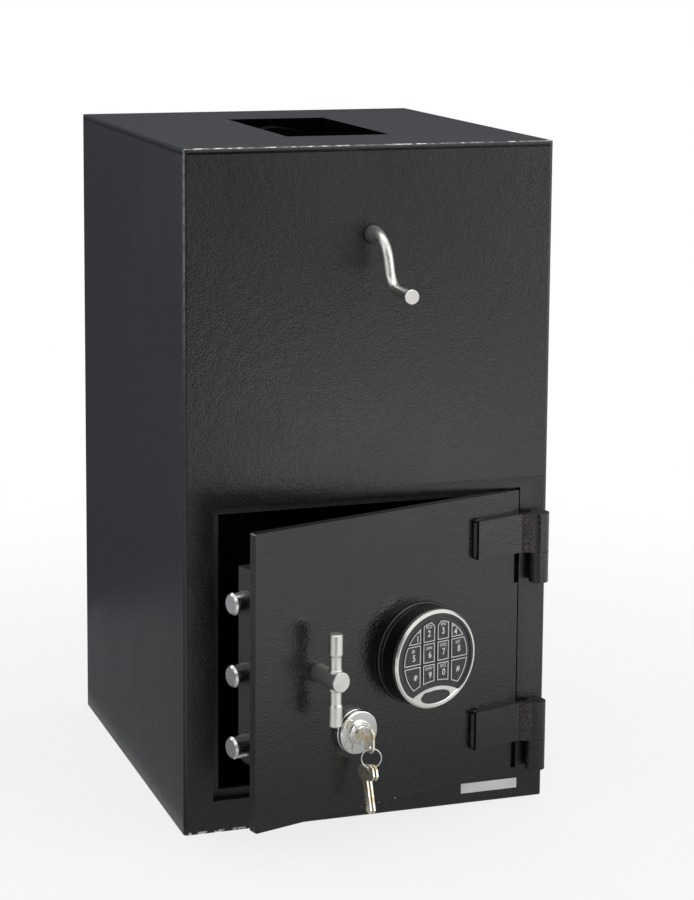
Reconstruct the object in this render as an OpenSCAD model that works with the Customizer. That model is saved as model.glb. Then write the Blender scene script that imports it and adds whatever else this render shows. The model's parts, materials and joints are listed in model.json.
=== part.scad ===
// Deposit safe with a rotary hopper under its top plate and a bolted door below.
// The origin is the centre of the underside, +X to the right as seen from the front, +Y to the back, +Z up.

/* [Body] */
// Outside width of the welded body
body_w = 386; // [370:1:440]
// Outside depth of the welded body
body_d = 432; // [400:1:500]
// Height over the top plate
body_h = 686; // [660:1:780]
// Thickness of the side, back, bottom and upper front steel
wall = 5; // [4:0.5:6]
// Outside radius of the upright corners
corner_r = 4; // [2:0.5:8]
// Thickness of the top plate
top_t = 6; // [5:0.5:8]
// Rounding of the top plate's upper edges
top_edge = 1.5; // [1:0.5:2.5]
// Height of the front plate above the door opening
frame_over = 11; // [9:0.5:16]
// Diameter of the anchor holes in the bottom
anchor_d = 14; // [10:1:18]
// Spacing of the anchor holes from side to side
anchor_dx = 220; // [160:5:260]
// Spacing of the anchor holes from front to back
anchor_dy = 260; // [200:5:300]

/* [Door opening] */
// Width of the front plate beside the opening
jamb_w = 30; // [28:0.5:34]
// Height of the opening
opening_h = 298.5; // [296:0.5:301]
// Height of the opening's lower edge above the floor
opening_z = 32.5; // [28:0.5:36]
// Width of the stop lip inside the opening
lip_w = 8; // [6:0.5:8]
// Thickness of the stop frame
lip_t = 6; // [5:0.5:7]
// Length of the strike bar behind the lock side of the lip
strike_l = 210; // [190:1:230]

/* [Door] */
// Thickness of the door plate
door_t = 9.5; // [8:0.5:10]
// Gap between the door and its opening
door_gap = 1.5; // [1.2:0.1:2]
// Angle at which the door stands open
door_ajar = 17; // [12:1:60]
// Room between the shut door and the stop lip
door_seat = 0.5; // [0.3:0.1:1]
// Radius of the outline's corners
door_corner = 2; // [1:0.5:4]

/* [Hinges] */
// Diameter of the hinge barrels
barrel_d = 20; // [18:0.5:22]
// Distance of the hinge axis from the edge of the opening
hinge_off = 17.5; // [17:0.5:20]
// Room between the barrels and the front plate
barrel_gap = 0.5; // [0.4:0.1:1]
// Diameter of the hinge pins
pin_d = 12; // [10:0.5:13]
// Height of the door's knuckles and leaves
leaf_h = 40; // [36:1:44]
// Height of the body's knuckles
knuckle_h = 32; // [28:0.5:33]
// Length of a leaf on the door, from the door's edge
leaf_l = 58; // [50:1:70]
// Thickness of a leaf
leaf_t = 8; // [6:0.5:9]
// Height of the upper hinge's joint above the floor
upper_hinge_z = 266; // [260:0.5:270]
// Height of the lower hinge's joint above the floor
lower_hinge_z = 66.5; // [64:0.5:72]
// Depth of the relief cut in the door's edge beside each body knuckle
relief_w = 5; // [3:0.5:6]

/* [Bolt work] */
// Diameter of the three locking bolts
bolt_d = 22; // [20:0.5:22]
// Depth of the bolts' axes behind the door's front face
bolt_depth = 32.4; // [32:0.1:33]
// Distance between neighbouring bolts
bolt_pitch = 71.5; // [68:0.5:72]
// Height of the middle bolt above the door's lower edge
bolt_mid_z = 149.5; // [146:0.5:150]
// Reach of the thrown bolts past the door's edge
bolt_reach = 7; // [5:0.5:8]
// Travel of the bolts
bolt_throw = 18; // [17.5:0.1:18.5]
// Distance of the carry bar from the door's edge while the bolts are thrown
carry_x = 36; // [35:0.5:37]
// Thickness of the carry bar
carry_t = 8; // [7:0.5:9]
// Depth of the link plate behind the door's front face
link_depth = 19; // [18.5:0.25:19.5]
// Thickness of the link plate
link_t = 5; // [4:0.25:5.5]
// Height of the tail bar above the door's lower edge
tail_z = 97.5; // [96:0.5:98]
// Height of the tail bar itself
tail_h = 14; // [13:0.5:14.5]
// Length of the tail bar from the door's edge while the bolts are thrown
tail_end = 182.5; // [181:0.5:183]
// Inset of the cover from the door's free edge
cover_x = 13.8; // [13:0.1:15]
// Width of the cover
cover_w = 286; // [280:1:287]
// Room between the lowest bolt and the posts below it
post_room_low = 1.5; // [1:0.5:3]
// Room between the highest bolt and the posts above it
post_room_high = 6.5; // [1:0.5:8]
// Depth of the cover behind the door plate
cover_depth = 41; // [40:0.5:46]
// Thickness of the cover sheet
sheet_t = 2; // [1.5:0.1:2.5]
// Diameter of the posts that hold the cover
post_d = 10; // [8:0.5:10]

/* [Handle] */
// Place of the handle from the door's free edge
handle_x = 72.5; // [70:0.5:74]
// Place of the handle above the door's lower edge
handle_z = 148; // [146:0.5:149]
// Diameter of the hub at the end of the handle
hub_d = 20; // [18:0.5:22]
// Length of the hub
hub_l = 18; // [16:0.5:22]
// Diameter of the shaft behind the hub
shaft_d = 18.5; // [16:0.5:20]
// Reach of the handle from the door
handle_reach = 40; // [36:0.5:50]
// Diameter of the neck that turns in the door
neck_d = 14; // [12:0.5:15]
// Length of the cross bar
bar_l = 92; // [80:1:110]
// Diameter of the cross bar at its ends
bar_d = 14; // [12:0.5:15]
// Diameter of the cross bar at its waists
waist_d = 12; // [10:0.5:13]
// Diameter of the cam disc
cam_d = 37; // [36:0.5:38]
// Thickness of the cam disc
cam_t = 4.6; // [4:0.1:5]
// Diameter of the cam pin
cam_pin_d = 8; // [7:0.25:8.5]
// Room on each side of the cam pin in its slot
slot_gap = 0.7; // [0.6:0.05:0.9]

/* [Combination lock] */
// Width of the lock case
case_w = 61; // [56:1:64]
// Height of the lock case
case_h = 85; // [80:1:88]
// Thickness of the lock case
case_t = 26; // [24:0.5:28]
// Width of the lock's own bolt
latch_w = 12; // [10:0.5:13]
// Thickness of the lock's own bolt
latch_t = 8; // [7:0.25:9]
// Length of the lock's own bolt
latch_l = 30; // [26:1:36]
// Travel of the lock's own bolt
latch_throw = 10; // [8:0.5:10]

/* [Keypad] */
// Place of the keypad from the door's free edge
pad_x = 196; // [193:0.5:197]
// Place of the keypad above the door's lower edge
pad_z = 146.5; // [144:0.5:149]
// Diameter of the base plate
pad_base_d = 105; // [102:0.5:108]
// Thickness of the base plate
pad_base_t = 3; // [2:0.5:4]
// Diameter of the housing
pad_d = 99; // [97:0.5:101]
// Height of the keypad above the door
pad_reach = 28.5; // [26:0.5:34]
// Height of the metal bezel
bezel_h = 5.5; // [4.5:0.5:7]
// Diameter inside the bezel
face_d = 89; // [87:0.5:90]
// Diameter of the ring that the outer keys follow
buttons_d = 79; // [77:0.5:81]
// Travel of a key
button_travel = 0.8; // [0.5:0.1:1]
// Height of a key above the face
button_proud = 1; // [0.9:0.1:1.4]
// Room around a key
button_gap = 0.3; // [0.2:0.05:0.4]

/* [Key lock] */
// Place of the key lock from the door's free edge
lock_x = 116.5; // [115:0.5:118]
// Place of the key lock above the door's lower edge
lock_z = 81.5; // [80:0.5:83]
// Diameter of the escutcheon
rose_d = 44.6; // [42:0.2:48]
// Height of the escutcheon
rose_h = 10; // [9:0.5:12]
// Diameter of the lock cylinder
barrel_lock_d = 19; // [18:0.5:21]
// Diameter of the boss round the plug
boss_d = 25; // [23:0.5:27]
// Height of the boss above the escutcheon
boss_h = 4; // [3:0.5:5]
// Diameter of the plug
plug_d = 13; // [12:0.25:14]
// Length of the plug's lever from its axis
lever_l = 22; // [21:0.25:22.5]
// Width of the plug's lever
lever_w = 10; // [8:0.5:11]
// Thickness of a key
blade_t = 2.2; // [1.8:0.1:2.4]
// Height of a key's blade
blade_w = 7.2; // [6:0.2:8]
// Length of a key's blade
blade_l = 33; // [28:1:36]
// Width of a key's bow
bow_w = 24.5; // [22:0.5:26]
// Length of a key's bow
bow_l = 15.5; // [14:0.5:17]
// Diameter of the hole in a key's bow
bow_hole_d = 4.6; // [4.4:0.1:5]
// Diameter of the key ring at the middle of its wire
ring_d = 19.6; // [18:0.2:24]
// Diameter of the ring's wire
ring_wire_d = 1.4; // [1.2:0.1:1.6]

/* [Deposit hopper] */
// Width of the mouth in the top plate
mouth_w = 110; // [100:1:112]
// Length of the mouth from front to back
mouth_l = 219; // [200:1:240]
// Distance of the mouth from the front
mouth_y = 105; // [100:1:115]
// Radius of the drum
drum_r = 77; // [76:0.5:80]
// Thickness of the drum's sheet
drum_t = 3; // [2:0.5:4]
// Depth of the drum's axis below the top
drum_drop = 88; // [88:0.5:100]
// Room between the drum and its chute and guards
drum_gap = 3; // [2.5:0.5:4]
// Room between the drum's ends and the hanging plates
end_gap = 4; // [3:0.5:6]
// Thickness of the hanging plates
hanger_t = 5; // [4:0.5:6]
// Thickness of the chute and guard sheet
guard_t = 3; // [2:0.5:4]
// Angle below the axis at which the guards end
guard_end = 60; // [45:1:65]
// Diameter of the hopper shafts
hopper_shaft_d = 16; // [14:0.5:17]
// Diameter of the hole for the shaft in the front
shaft_hole_d = 19; // [17.5:0.1:20]

/* [Crank] */
// Diameter of the crank rod
rod_d = 10.8; // [9:0.2:12]
// Distance of the crank arm from the front
crank_out = 38; // [34:1:50]
// Radius of the upper bend
bend_top = 20; // [15:0.5:22]
// Radius of the lower bend
bend_low = 17; // [14:0.5:20]
// Distance of the grip from the shaft's axis
crank_throw = 50; // [45:1:70]
// Reach of the grip from the front
crank_reach = 92; // [84:1:120]
// Angle of the hanging crank from upright
crank_lean = 8; // [0:1:20]
// Diameter of the disc at the grip's end
cap_d = 14.5; // [13:0.5:18]
// Thickness of the disc at the grip's end
cap_t = 4; // [3:0.5:6]

/* [Hidden] */
$fn = 48;
eps = 0.01;
front = -body_d / 2;
top_z = body_h - top_t;
inner_w = body_w - 2 * wall;
frame_t = door_t + door_seat;
opening_w = body_w - 2 * jamb_w;
frame_h = opening_z + opening_h + frame_over;
run_gap = 0.3;
pin_gap = 0.07;

door_w = opening_w - 2 * door_gap;
door_h = opening_h - 2 * door_gap;
door_x0 = -door_w / 2;
door_z0 = opening_z + door_gap;
hinge_x = opening_w / 2 + hinge_off;
hinge_y = front - barrel_d / 2 - barrel_gap;
hinge_zs = [upper_hinge_z, lower_hinge_z];
joint_gap = 0.5;
knuckle_roof = 5;
hinge_u = hinge_x - door_x0;
hinge_out = barrel_d / 2 + barrel_gap;

bolt_zs = [for (i = [-1:1]) bolt_mid_z + i * bolt_pitch];
bolt_chamfer = 2;
carry_margin = 12;
link_low = 14;
link_high = 12;
cam_r = bolt_throw / 2 / sin(45);
cam_pin_x = handle_x - bolt_throw / 2;
cam_pin_z = handle_z + bolt_throw / 2;
cam_front = door_t + 2.6;
cam_back = cam_front + cam_t;
bar_out = handle_reach - hub_l / 2 - 1.5;
bar_tip = 20;
link_end = cam_pin_x + cam_pin_d / 2 + slot_gap + 4;
cover_back = door_t + cover_depth;
dead_foot = 8;
dead_reach = 10;
dead_clear = 6;
dead_t = 7;
dead_l = 160;
post_inset = 8.5;
post_xs = [cover_x + sheet_t + post_inset + 2, cover_x + cover_w - sheet_t - post_inset];
post_zs = [bolt_zs[0] - (bolt_d + post_d) / 2 - post_room_low,
    bolt_zs[2] + (bolt_d + post_d) / 2 + post_room_high];
cover_z = post_zs[0] - post_inset;
cover_h = post_zs[1] + post_inset - cover_z;
screw_d = 5;
screw_head_d = 9;
screw_head_t = 3;
screw_l = 12;
cable_hole_d = 12;

case_x = pad_x - case_w / 2;
case_z = tail_z + tail_h + 4;
latch_x = tail_end + 1.5;
latch_z = tail_z + tail_h + 2.5;
latch_depth = link_depth + link_t / 2 - latch_t / 2;

pad_top = pad_reach - bezel_h;
pad_wall = 3;
face_top = pad_reach - 1.5;
face_t = 2;
button_rows = [[19, 44], [-2.3, 17.7], [-44, -4]];
button_cols = [[-44, -19], [-16, -1.6], [1.6, 16], [19, 44]];
crescent_r = 57;
crescent_z = -85;
crescent_rim = 6;
dot_z = 41;
dot_d = 1.8;
lamp_depth = 0.5;
dot_cut = 8;
oval_w = 34;
oval_h = 10.4;
oval_z = -37.5;
battery_l = 48;
battery_w = 26;
battery_low = 8;
board_drop = 6;
board_t = 1.6;

bow_drop = 3.5;
bow_hole_off = 6;
neck_l = 2;
plug_rim = 1.5;
plug_seat = rose_h + boss_h + 0.1;
plug_face = plug_seat + plug_rim;
bow_mid = plug_face + neck_l + bow_l / 2;
bow_hole_out = bow_l / 2 - 3.8;
hang_gap = bow_hole_d / 2 - ring_wire_d / 2 - 0.3;
ring_turn = -28;
ring_top_z = lock_z - bow_drop - bow_hole_off - hang_gap;
ring_mid_z = ring_top_z - ring_d / 2;
ring_out = bow_mid + bow_hole_out;
spare_tilt = 13;
spare_pitch = 3.4;
spare_edge = (spare_pitch + blade_t) / 2 / cos(ring_turn);
spare_rise = ring_d / 2 - sqrt(ring_d * ring_d / 4 - spare_edge * spare_edge);
spare_z = ring_mid_z - ring_d / 2 - hang_gap + spare_rise;

mouth_front = front + mouth_y;
mouth_mid_y = mouth_front + mouth_l / 2;
axis_z = body_h - drum_drop;
drum_l = mouth_l + 8;
drum_front = mouth_mid_y - drum_l / 2;
drum_back = mouth_mid_y + drum_l / 2;
hanger_r = drum_r + drum_gap + guard_t + 3;
chute_w = mouth_w + 2 * guard_t;
bush_d = 26;
bush_flange_d = 34;
bush_flange_t = 3;
collar_d = 26;
collar_t = 6;
shaft_tail = 12;

// Flat outlines

module rounded(w, h, r) {
    square([w - 2 * r, h], center = true);
    square([w, h - 2 * r], center = true);
    for (x = [-1, 1], y = [-1, 1])
        translate([x * (w / 2 - r), y * (h / 2 - r)]) circle(r = r);
}

module box2(x0, y0, x1, y1) {
    translate([x0, y0]) square([x1 - x0, y1 - y0]);
}

// A block between two opposite corners
module block(a, b) {
    translate(a) cube(b - a);
}

// Children drawn with +Z stand along +Y from the given place
module along_y(x, y, z) {
    translate([x, y, z]) rotate([-90, 0, 0]) children();
}

// Children are drawn on the door: x from its free edge, y up from its lower edge, z out of its front face
module on_door(x = 0, y = 0, z = 0) {
    translate([hinge_x, hinge_y, 0]) rotate([0, 0, door_ajar]) translate([-hinge_x, -hinge_y, 0])
        translate([door_x0, front, door_z0]) rotate([90, 0, 0]) translate([x, y, z]) children();
}

// A bar of round section with both ends chamfered
module chamfered_rod(d, l, c) {
    rotate_extrude()
        polygon([[0, 0], [d / 2 - c, 0], [d / 2, c], [d / 2, l - c], [d / 2 - c, l], [0, l]]);
}

// Body

module body_shell() {
    color("#2c2d31") difference() {
        linear_extrude(top_z) rounded(body_w, body_d, corner_r);
        block([-inner_w / 2, front + wall, wall], [inner_w / 2, body_d / 2 - wall, top_z + eps]);
        block([-body_w, front - eps, -eps], [body_w, front + frame_t, frame_h]);
        along_y(0, front - eps, axis_z) cylinder(d = shaft_hole_d, h = wall + 2 * eps);
        for (x = [-1, 1], y = [-1, 1])
            translate([x * anchor_dx / 2, y * anchor_dy / 2, -eps])
                cylinder(d = anchor_d, h = wall + 2 * eps);
    }
}

// Upright outline of the top plate with its upper corners cut back
module edge_outline(w) {
    polygon([[-w / 2, 0], [-w / 2, top_t - top_edge], [top_edge - w / 2, top_t],
        [w / 2 - top_edge, top_t], [w / 2, top_t - top_edge], [w / 2, 0]]);
}

module top_plate() {
    color("#34363b") translate([0, 0, top_z]) difference() {
        intersection() {
            linear_extrude(top_t) rounded(body_w, body_d, corner_r);
            translate([0, body_d / 2, 0]) rotate([90, 0, 0]) linear_extrude(body_d) edge_outline(body_w);
            translate([-body_w / 2, 0, 0]) rotate([90, 0, 90]) linear_extrude(body_w) edge_outline(body_d);
        }
        block([-mouth_w / 2, mouth_front, -eps], [mouth_w / 2, mouth_front + mouth_l, top_t + eps]);
    }
}

module door_frame() {
    color("#2c2d31") difference() {
        linear_extrude(frame_h) intersection() {
            rounded(body_w, body_d, corner_r);
            box2(-body_w, front, body_w, front + frame_t);
        }
        block([-opening_w / 2, front - eps, opening_z],
            [opening_w / 2, front + frame_t + eps, opening_z + opening_h]);
    }
}

module stop_frame() {
    back = front + frame_t;
    color("#26272a") difference() {
        block([-inner_w / 2, back, wall], [inner_w / 2, back + lip_t, frame_h]);
        block([-opening_w / 2 + lip_w, back - eps, opening_z + lip_w],
            [opening_w / 2 - lip_w, back + lip_t + eps, opening_z + opening_h - lip_w]);
    }
}

module strike_bar() {
    y0 = front + frame_t + lip_t;
    y1 = front + bolt_depth - bolt_d / 2 - 0.4;
    mid = door_z0 + bolt_mid_z;
    color("#8d9094")
        block([-inner_w / 2, y0, mid - strike_l / 2],
            [-opening_w / 2 + lip_w - 1.5, y1, mid + strike_l / 2]);
}

module body_knuckles() {
    foot = joint_gap + knuckle_h;
    color("#2a2b2f") for (z = hinge_zs) translate([hinge_x, hinge_y, z - foot]) difference() {
        union() {
            cylinder(d = barrel_d, h = knuckle_h);
            block([-barrel_d / 4, barrel_d / 4, 0], [barrel_d / 4, hinge_out, knuckle_h]);
        }
        translate([0, 0, knuckle_roof]) cylinder(d = pin_d, h = knuckle_h);
    }
}

module hinge_pins() {
    foot = knuckle_h - knuckle_roof + joint_gap;
    color("silver") for (z = hinge_zs) translate([hinge_x, hinge_y, z - foot])
        chamfered_rod(pin_d, foot + leaf_h - knuckle_roof - 0.5, 1);
}

// Rotary hopper

module chute_collar() {
    side_drop = drum_drop - top_t;
    color("#3a3c40") difference() {
        translate([0, mouth_mid_y, top_z - side_drop]) linear_extrude(side_drop) difference() {
            square([chute_w, mouth_l + 2 * guard_t], center = true);
            square([mouth_w, mouth_l], center = true);
        }
        along_y(0, drum_front - end_gap, axis_z)
            cylinder(r = drum_r + drum_gap, h = drum_l + 2 * end_gap, $fn = 96);
        block([-chute_w, front, axis_z - eps], [chute_w, front + body_d, axis_z + drum_r / 2]);
    }
}

module drum_guards() {
    low = drum_r * cos(guard_end);
    color("#3a3c40") along_y(0, drum_front - end_gap, axis_z) difference() {
        cylinder(r = drum_r + drum_gap + guard_t, h = drum_l + 2 * end_gap, $fn = 96);
        translate([0, 0, -eps])
            cylinder(r = drum_r + drum_gap, h = drum_l + 2 * end_gap + 2 * eps, $fn = 96);
        block([-chute_w / 2, -2 * drum_r, -eps], [chute_w / 2, 0, drum_l + 2 * end_gap + eps]);
        block([-low, 0, -eps], [low, 2 * drum_r, drum_l + 2 * end_gap + eps]);
    }
}

module hanger_plates() {
    color("#3a3c40") for (y = [drum_front - end_gap - hanger_t, drum_back + end_gap])
        along_y(0, y, axis_z) linear_extrude(hanger_t) difference() {
            union() {
                circle(r = hanger_r, $fn = 96);
                box2(-hanger_r, axis_z - top_z, hanger_r, 0);
            }
            box2(-2 * hanger_r, -2 * hanger_r, 2 * hanger_r, axis_z - top_z);
            circle(d = bush_d);
        }
}

module bushing(l) {
    difference() {
        union() {
            cylinder(d = bush_d, h = l);
            cylinder(d = bush_flange_d, h = bush_flange_t);
        }
        translate([0, 0, -eps]) cylinder(d = hopper_shaft_d + 2 * pin_gap, h = l + 2 * eps);
    }
}

module drum_bushings() {
    l = hanger_t + bush_flange_t + 6;
    color("#b08d57") {
        along_y(0, drum_front - end_gap + bush_flange_t, axis_z) mirror([0, 0, 1]) bushing(l);
        along_y(0, drum_back + end_gap - bush_flange_t, axis_z) bushing(l);
    }
}

module shaft_guide() {
    color("#3a3c40") along_y(0, front + wall, axis_z) difference() {
        cylinder(d = bush_flange_d, h = 10);
        translate([0, 0, -eps]) cylinder(d = hopper_shaft_d + 2 * pin_gap, h = 10 + 2 * eps);
    }
}

module drum_shell() {
    lip_z = sqrt(drum_r * drum_r - mouth_w * mouth_w / 4);
    lip_d = 6;
    color("#4a4c50") along_y(0, drum_front + drum_t, axis_z) {
        difference() {
            cylinder(r = drum_r, h = drum_l - 2 * drum_t, $fn = 96);
            translate([0, 0, -eps]) cylinder(r = drum_r - drum_t, h = drum_l, $fn = 96);
            block([-mouth_w / 2, -2 * drum_r, -eps], [mouth_w / 2, 0, drum_l]);
        }
        for (s = [-1, 1])
            translate([s * (mouth_w / 2 + lip_d / 2 - 1), lip_d / 2 + 1 - lip_z, 0])
                cylinder(d = lip_d, h = drum_l - 2 * drum_t);
    }
}

module drum_ends() {
    color("#4a4c50") for (y = [drum_front, drum_back - drum_t])
        along_y(0, y, axis_z) cylinder(r = drum_r, h = drum_t, $fn = 96);
}

// A stub shaft with a welded hub against the drum, hub at the far end
module stub_shaft(l) {
    hub = end_gap - bush_flange_t - 0.5;
    cylinder(d = hopper_shaft_d, h = l);
    translate([0, 0, l - hub]) cylinder(d = bush_flange_d - 4, h = hub);
}

module front_shaft() {
    color("silver") along_y(0, front - 1.5, axis_z) stub_shaft(drum_front - front + 1.5);
}

module rear_shaft() {
    l = end_gap + hanger_t + collar_t + shaft_tail;
    color("silver") along_y(0, drum_back + l, axis_z) mirror([0, 0, 1]) stub_shaft(l);
}

module shaft_collar() {
    color("#8d9094") along_y(0, drum_back + end_gap + hanger_t + 6.5, axis_z) difference() {
        cylinder(d = collar_d, h = collar_t);
        translate([0, 0, -eps]) cylinder(d = hopper_shaft_d, h = collar_t + 2 * eps);
    }
}

// A quarter bend that starts along -Y and turns down, seen from its start
module bend_down(r) {
    translate([0, 0, -r]) rotate([180, -90, 0])
        rotate_extrude(angle = 90, $fn = 64) translate([r, 0]) circle(d = rod_d, $fn = 32);
}

// A quarter bend that starts downwards and turns out along -Y
module bend_out(r) {
    translate([0, -r, 0]) rotate([-90, 0, 90])
        rotate_extrude(angle = 90, $fn = 64) translate([r, 0]) circle(d = rod_d, $fn = 32);
}

module on_crank() {
    translate([0, front, axis_z]) rotate([0, -crank_lean, 0]) children();
}

module crank() {
    grip_y = -crank_out - bend_low;
    color("#d4d6d8") on_crank() {
        along_y(0, -crank_out + bend_top, 0) cylinder(d = rod_d, h = crank_out - bend_top - 1.5);
        translate([0, -crank_out + bend_top, 0]) bend_down(bend_top);
        translate([0, -crank_out, bend_low - crank_throw])
            cylinder(d = rod_d, h = crank_throw - bend_low - bend_top);
        translate([0, -crank_out, bend_low - crank_throw]) bend_out(bend_low);
        along_y(0, -crank_reach, -crank_throw) cylinder(d = rod_d, h = crank_reach + grip_y);
    }
}

module crank_cap() {
    color("#e2e4e6") on_crank() along_y(0, -crank_reach - cap_t, -crank_throw)
        chamfered_rod(cap_d, cap_t, 0.8);
}

// Door

module door_plate() {
    edge = door_w;
    color("#2c2d31") on_door() difference() {
        union() {
            translate([door_w / 2, door_h / 2, -door_t]) linear_extrude(door_t)
                rounded(door_w, door_h, door_corner);
            for (x = post_xs, y = post_zs)
                translate([x, y, sheet_t - cover_back]) cylinder(d = post_d, h = cover_depth - sheet_t);
        }
        for (z = hinge_zs)
            block([edge - relief_w, z - door_z0 - joint_gap - knuckle_h - 1, -door_t - eps],
                [edge + eps, z - door_z0 + 1, eps]);
        translate([handle_x, handle_z, -door_t - eps]) cylinder(d = hub_d + 1, h = door_t + 2 * eps);
        translate([lock_x, lock_z, -door_t - eps]) cylinder(d = barrel_lock_d, h = door_t + 2 * eps);
        translate([pad_x, pad_z, -door_t - eps]) cylinder(d = cable_hole_d, h = door_t + 2 * eps);
        for (x = post_xs, y = post_zs)
            translate([x, y, -cover_back]) cylinder(d = screw_d, h = screw_l + 2);
    }
}

// Hinge leaf: flat on the door, stepped out to the barrel
module leaf(z) {
    u = hinge_u;
    low = z - door_z0;
    color("#2a2b2f") on_door() translate([0, low, 0]) rotate([-90, 0, 0]) difference() {
        linear_extrude(leaf_h) union() {
            polygon([[door_w - leaf_l, 0], [door_w - leaf_l, -leaf_t], [door_w - 2, -leaf_t],
                [u - 9, -hinge_out - barrel_d / 3], [u, -hinge_out], [u - 8, -hinge_out + 5],
                [door_w + 2, -1.5], [door_w - 1, 0]]);
            translate([u, -hinge_out]) circle(d = barrel_d);
        }
        translate([u, -hinge_out, -eps])
            cylinder(d = pin_d + 2 * pin_gap, h = leaf_h - knuckle_roof + eps);
    }
}

module upper_leaf() {
    leaf(upper_hinge_z);
}

module lower_leaf() {
    leaf(lower_hinge_z);
}

module bolt_cover() {
    cut = 8;
    far = cover_x + cover_w;
    top = cover_z + cover_h;
    color("#55585c") on_door() difference() {
        translate([0, 0, -cover_back]) linear_extrude(cover_depth)
            polygon([[cover_x, top], [cover_x, cover_z + cut], [cover_x + cut, cover_z],
                [far - cut, cover_z], [far, cover_z + cut], [far, top]]);
        translate([0, 0, sheet_t - cover_back]) linear_extrude(cover_depth)
            polygon([[cover_x + sheet_t, top - sheet_t], [cover_x + sheet_t, cover_z + cut + sheet_t / 2],
                [cover_x + cut + sheet_t / 2, cover_z + sheet_t],
                [far - cut - sheet_t / 2, cover_z + sheet_t],
                [far - sheet_t, cover_z + cut + sheet_t / 2], [far - sheet_t, top - sheet_t]]);
        for (y = bolt_zs)
            translate([cover_x - eps, y, -bolt_depth]) rotate([0, 90, 0])
                cylinder(d = bolt_d + 2 * run_gap, h = sheet_t + 2 * eps);
        for (x = post_xs, y = post_zs)
            translate([x, y, -cover_back - eps]) cylinder(d = screw_d, h = sheet_t + 2 * eps);
    }
}

module cover_screws() {
    color("silver") on_door() for (x = post_xs, y = post_zs) translate([x, y, -cover_back]) {
        cylinder(d = screw_d, h = screw_l);
        translate([0, 0, -screw_head_t]) cylinder(d = screw_head_d, h = screw_head_t);
    }
}

// An angle bar that hooks behind the stop lip on the hinge side
module dead_bar() {
    u = door_w - dead_foot - dead_reach - 1;
    hook = -frame_t - lip_t - dead_clear;
    low = bolt_mid_z - dead_l / 2;
    high = bolt_mid_z + dead_l / 2;
    color("#3a3c40") on_door() {
        block([u, low, hook - dead_t], [u + dead_foot, high, -door_t]);
        block([u, low, hook - dead_t], [u + dead_foot + dead_reach, high, hook]);
    }
}

module handle_bushing() {
    color("#b08d57") on_door(handle_x, handle_z, 0) difference() {
        union() {
            translate([0, 0, -cam_front + 0.5]) cylinder(d = hub_d + 1, h = cam_front - 0.6);
            translate([0, 0, -cam_front + 0.5]) cylinder(d = cam_d - 6, h = cam_front - 0.5 - door_t);
        }
        translate([0, 0, -cam_front]) cylinder(d = neck_d + 2 * pin_gap, h = cam_front + eps);
    }
}

module bar_guide() {
    wide = 10;
    x = lock_x + lever_l + 5;
    color("#8d9094") on_door() difference() {
        block([x, tail_z - 5, -link_depth - link_t - 4], [x + wide, tail_z + tail_h + 5, -door_t]);
        block([x - eps, tail_z - 0.4, -link_depth - link_t - 0.4],
            [x + wide + eps, tail_z + tail_h + 0.4, -link_depth + 0.4]);
    }
}

module lock_case() {
    color("#9a9da1") on_door() difference() {
        translate([pad_x, case_z + case_h / 2, -door_t - case_t]) linear_extrude(case_t)
            rounded(case_w, case_h, 5);
        block([latch_x - run_gap, case_z - eps, -latch_depth - latch_t - run_gap],
            [latch_x + latch_w + run_gap, latch_z + latch_l + run_gap, -latch_depth + run_gap]);
    }
}

module lock_bolt() {
    color("#b08d57") on_door()
        block([latch_x, latch_z, -latch_depth - latch_t],
            [latch_x + latch_w, latch_z + latch_l, -latch_depth]);
}

// Bolt work

module carry_bar() {
    notch_x0 = lock_x - lever_w / 2 - 1.5;
    notch_x1 = lock_x + sqrt(lever_l * lever_l + lever_w * lever_w / 4 - pow(tail_z - lock_z, 2)) + 1.5;
    notch_z = lock_z + lever_l + 2;
    slot_w = cam_pin_d + 2 * slot_gap;
    slot_low = cam_pin_z;
    slot_high = handle_z + cam_r;
    low = bolt_zs[0] - carry_margin;
    high = bolt_zs[2] + carry_margin;
    color("#7d8084") on_door() difference() {
        union() {
            block([carry_x, low, -bolt_depth - bolt_d / 2], [carry_x + carry_t, high, -link_depth]);
            block([carry_x, slot_low - link_low, -link_depth - link_t], [link_end, slot_high + link_high, -link_depth]);
            block([carry_x, tail_z, -link_depth - link_t], [tail_end, tail_z + tail_h, -link_depth]);
        }
        for (y = [slot_low, slot_high])
            translate([cam_pin_x, y, -link_depth - link_t - eps]) cylinder(d = slot_w, h = link_t + 2 * eps);
        block([cam_pin_x - slot_w / 2, slot_low, -link_depth - link_t - eps],
            [cam_pin_x + slot_w / 2, slot_high, -link_depth + eps]);
        block([notch_x0, tail_z - eps, -link_depth - link_t - eps], [notch_x1, notch_z, -link_depth + eps]);
    }
}

module locking_bolts() {
    color("#dfe1e3") on_door() for (y = bolt_zs)
        translate([-bolt_reach, y, -bolt_depth]) rotate([0, 90, 0])
            rotate_extrude() polygon([[0, 0], [bolt_d / 2 - bolt_chamfer, 0], [bolt_d / 2, bolt_chamfer],
                [bolt_d / 2, carry_x + bolt_reach], [0, carry_x + bolt_reach]]);
}

// Handle

module handle_shaft() {
    root = 0.6;
    color("#c9cbcd") on_door(handle_x, handle_z, 0) difference() {
        rotate_extrude() polygon([[0, -cam_front], [neck_d / 2, -cam_front], [neck_d / 2, root],
            [shaft_d / 2, root], [shaft_d / 2, handle_reach - hub_l],
            [hub_d / 2, handle_reach - hub_l + 0.7], [hub_d / 2, handle_reach - 0.7],
            [hub_d / 2 - 0.7, handle_reach], [0, handle_reach]]);
        translate([0, hub_d, bar_out]) rotate([90, 0, 0]) cylinder(d = bar_d, h = 2 * hub_d);
    }
}

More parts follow.
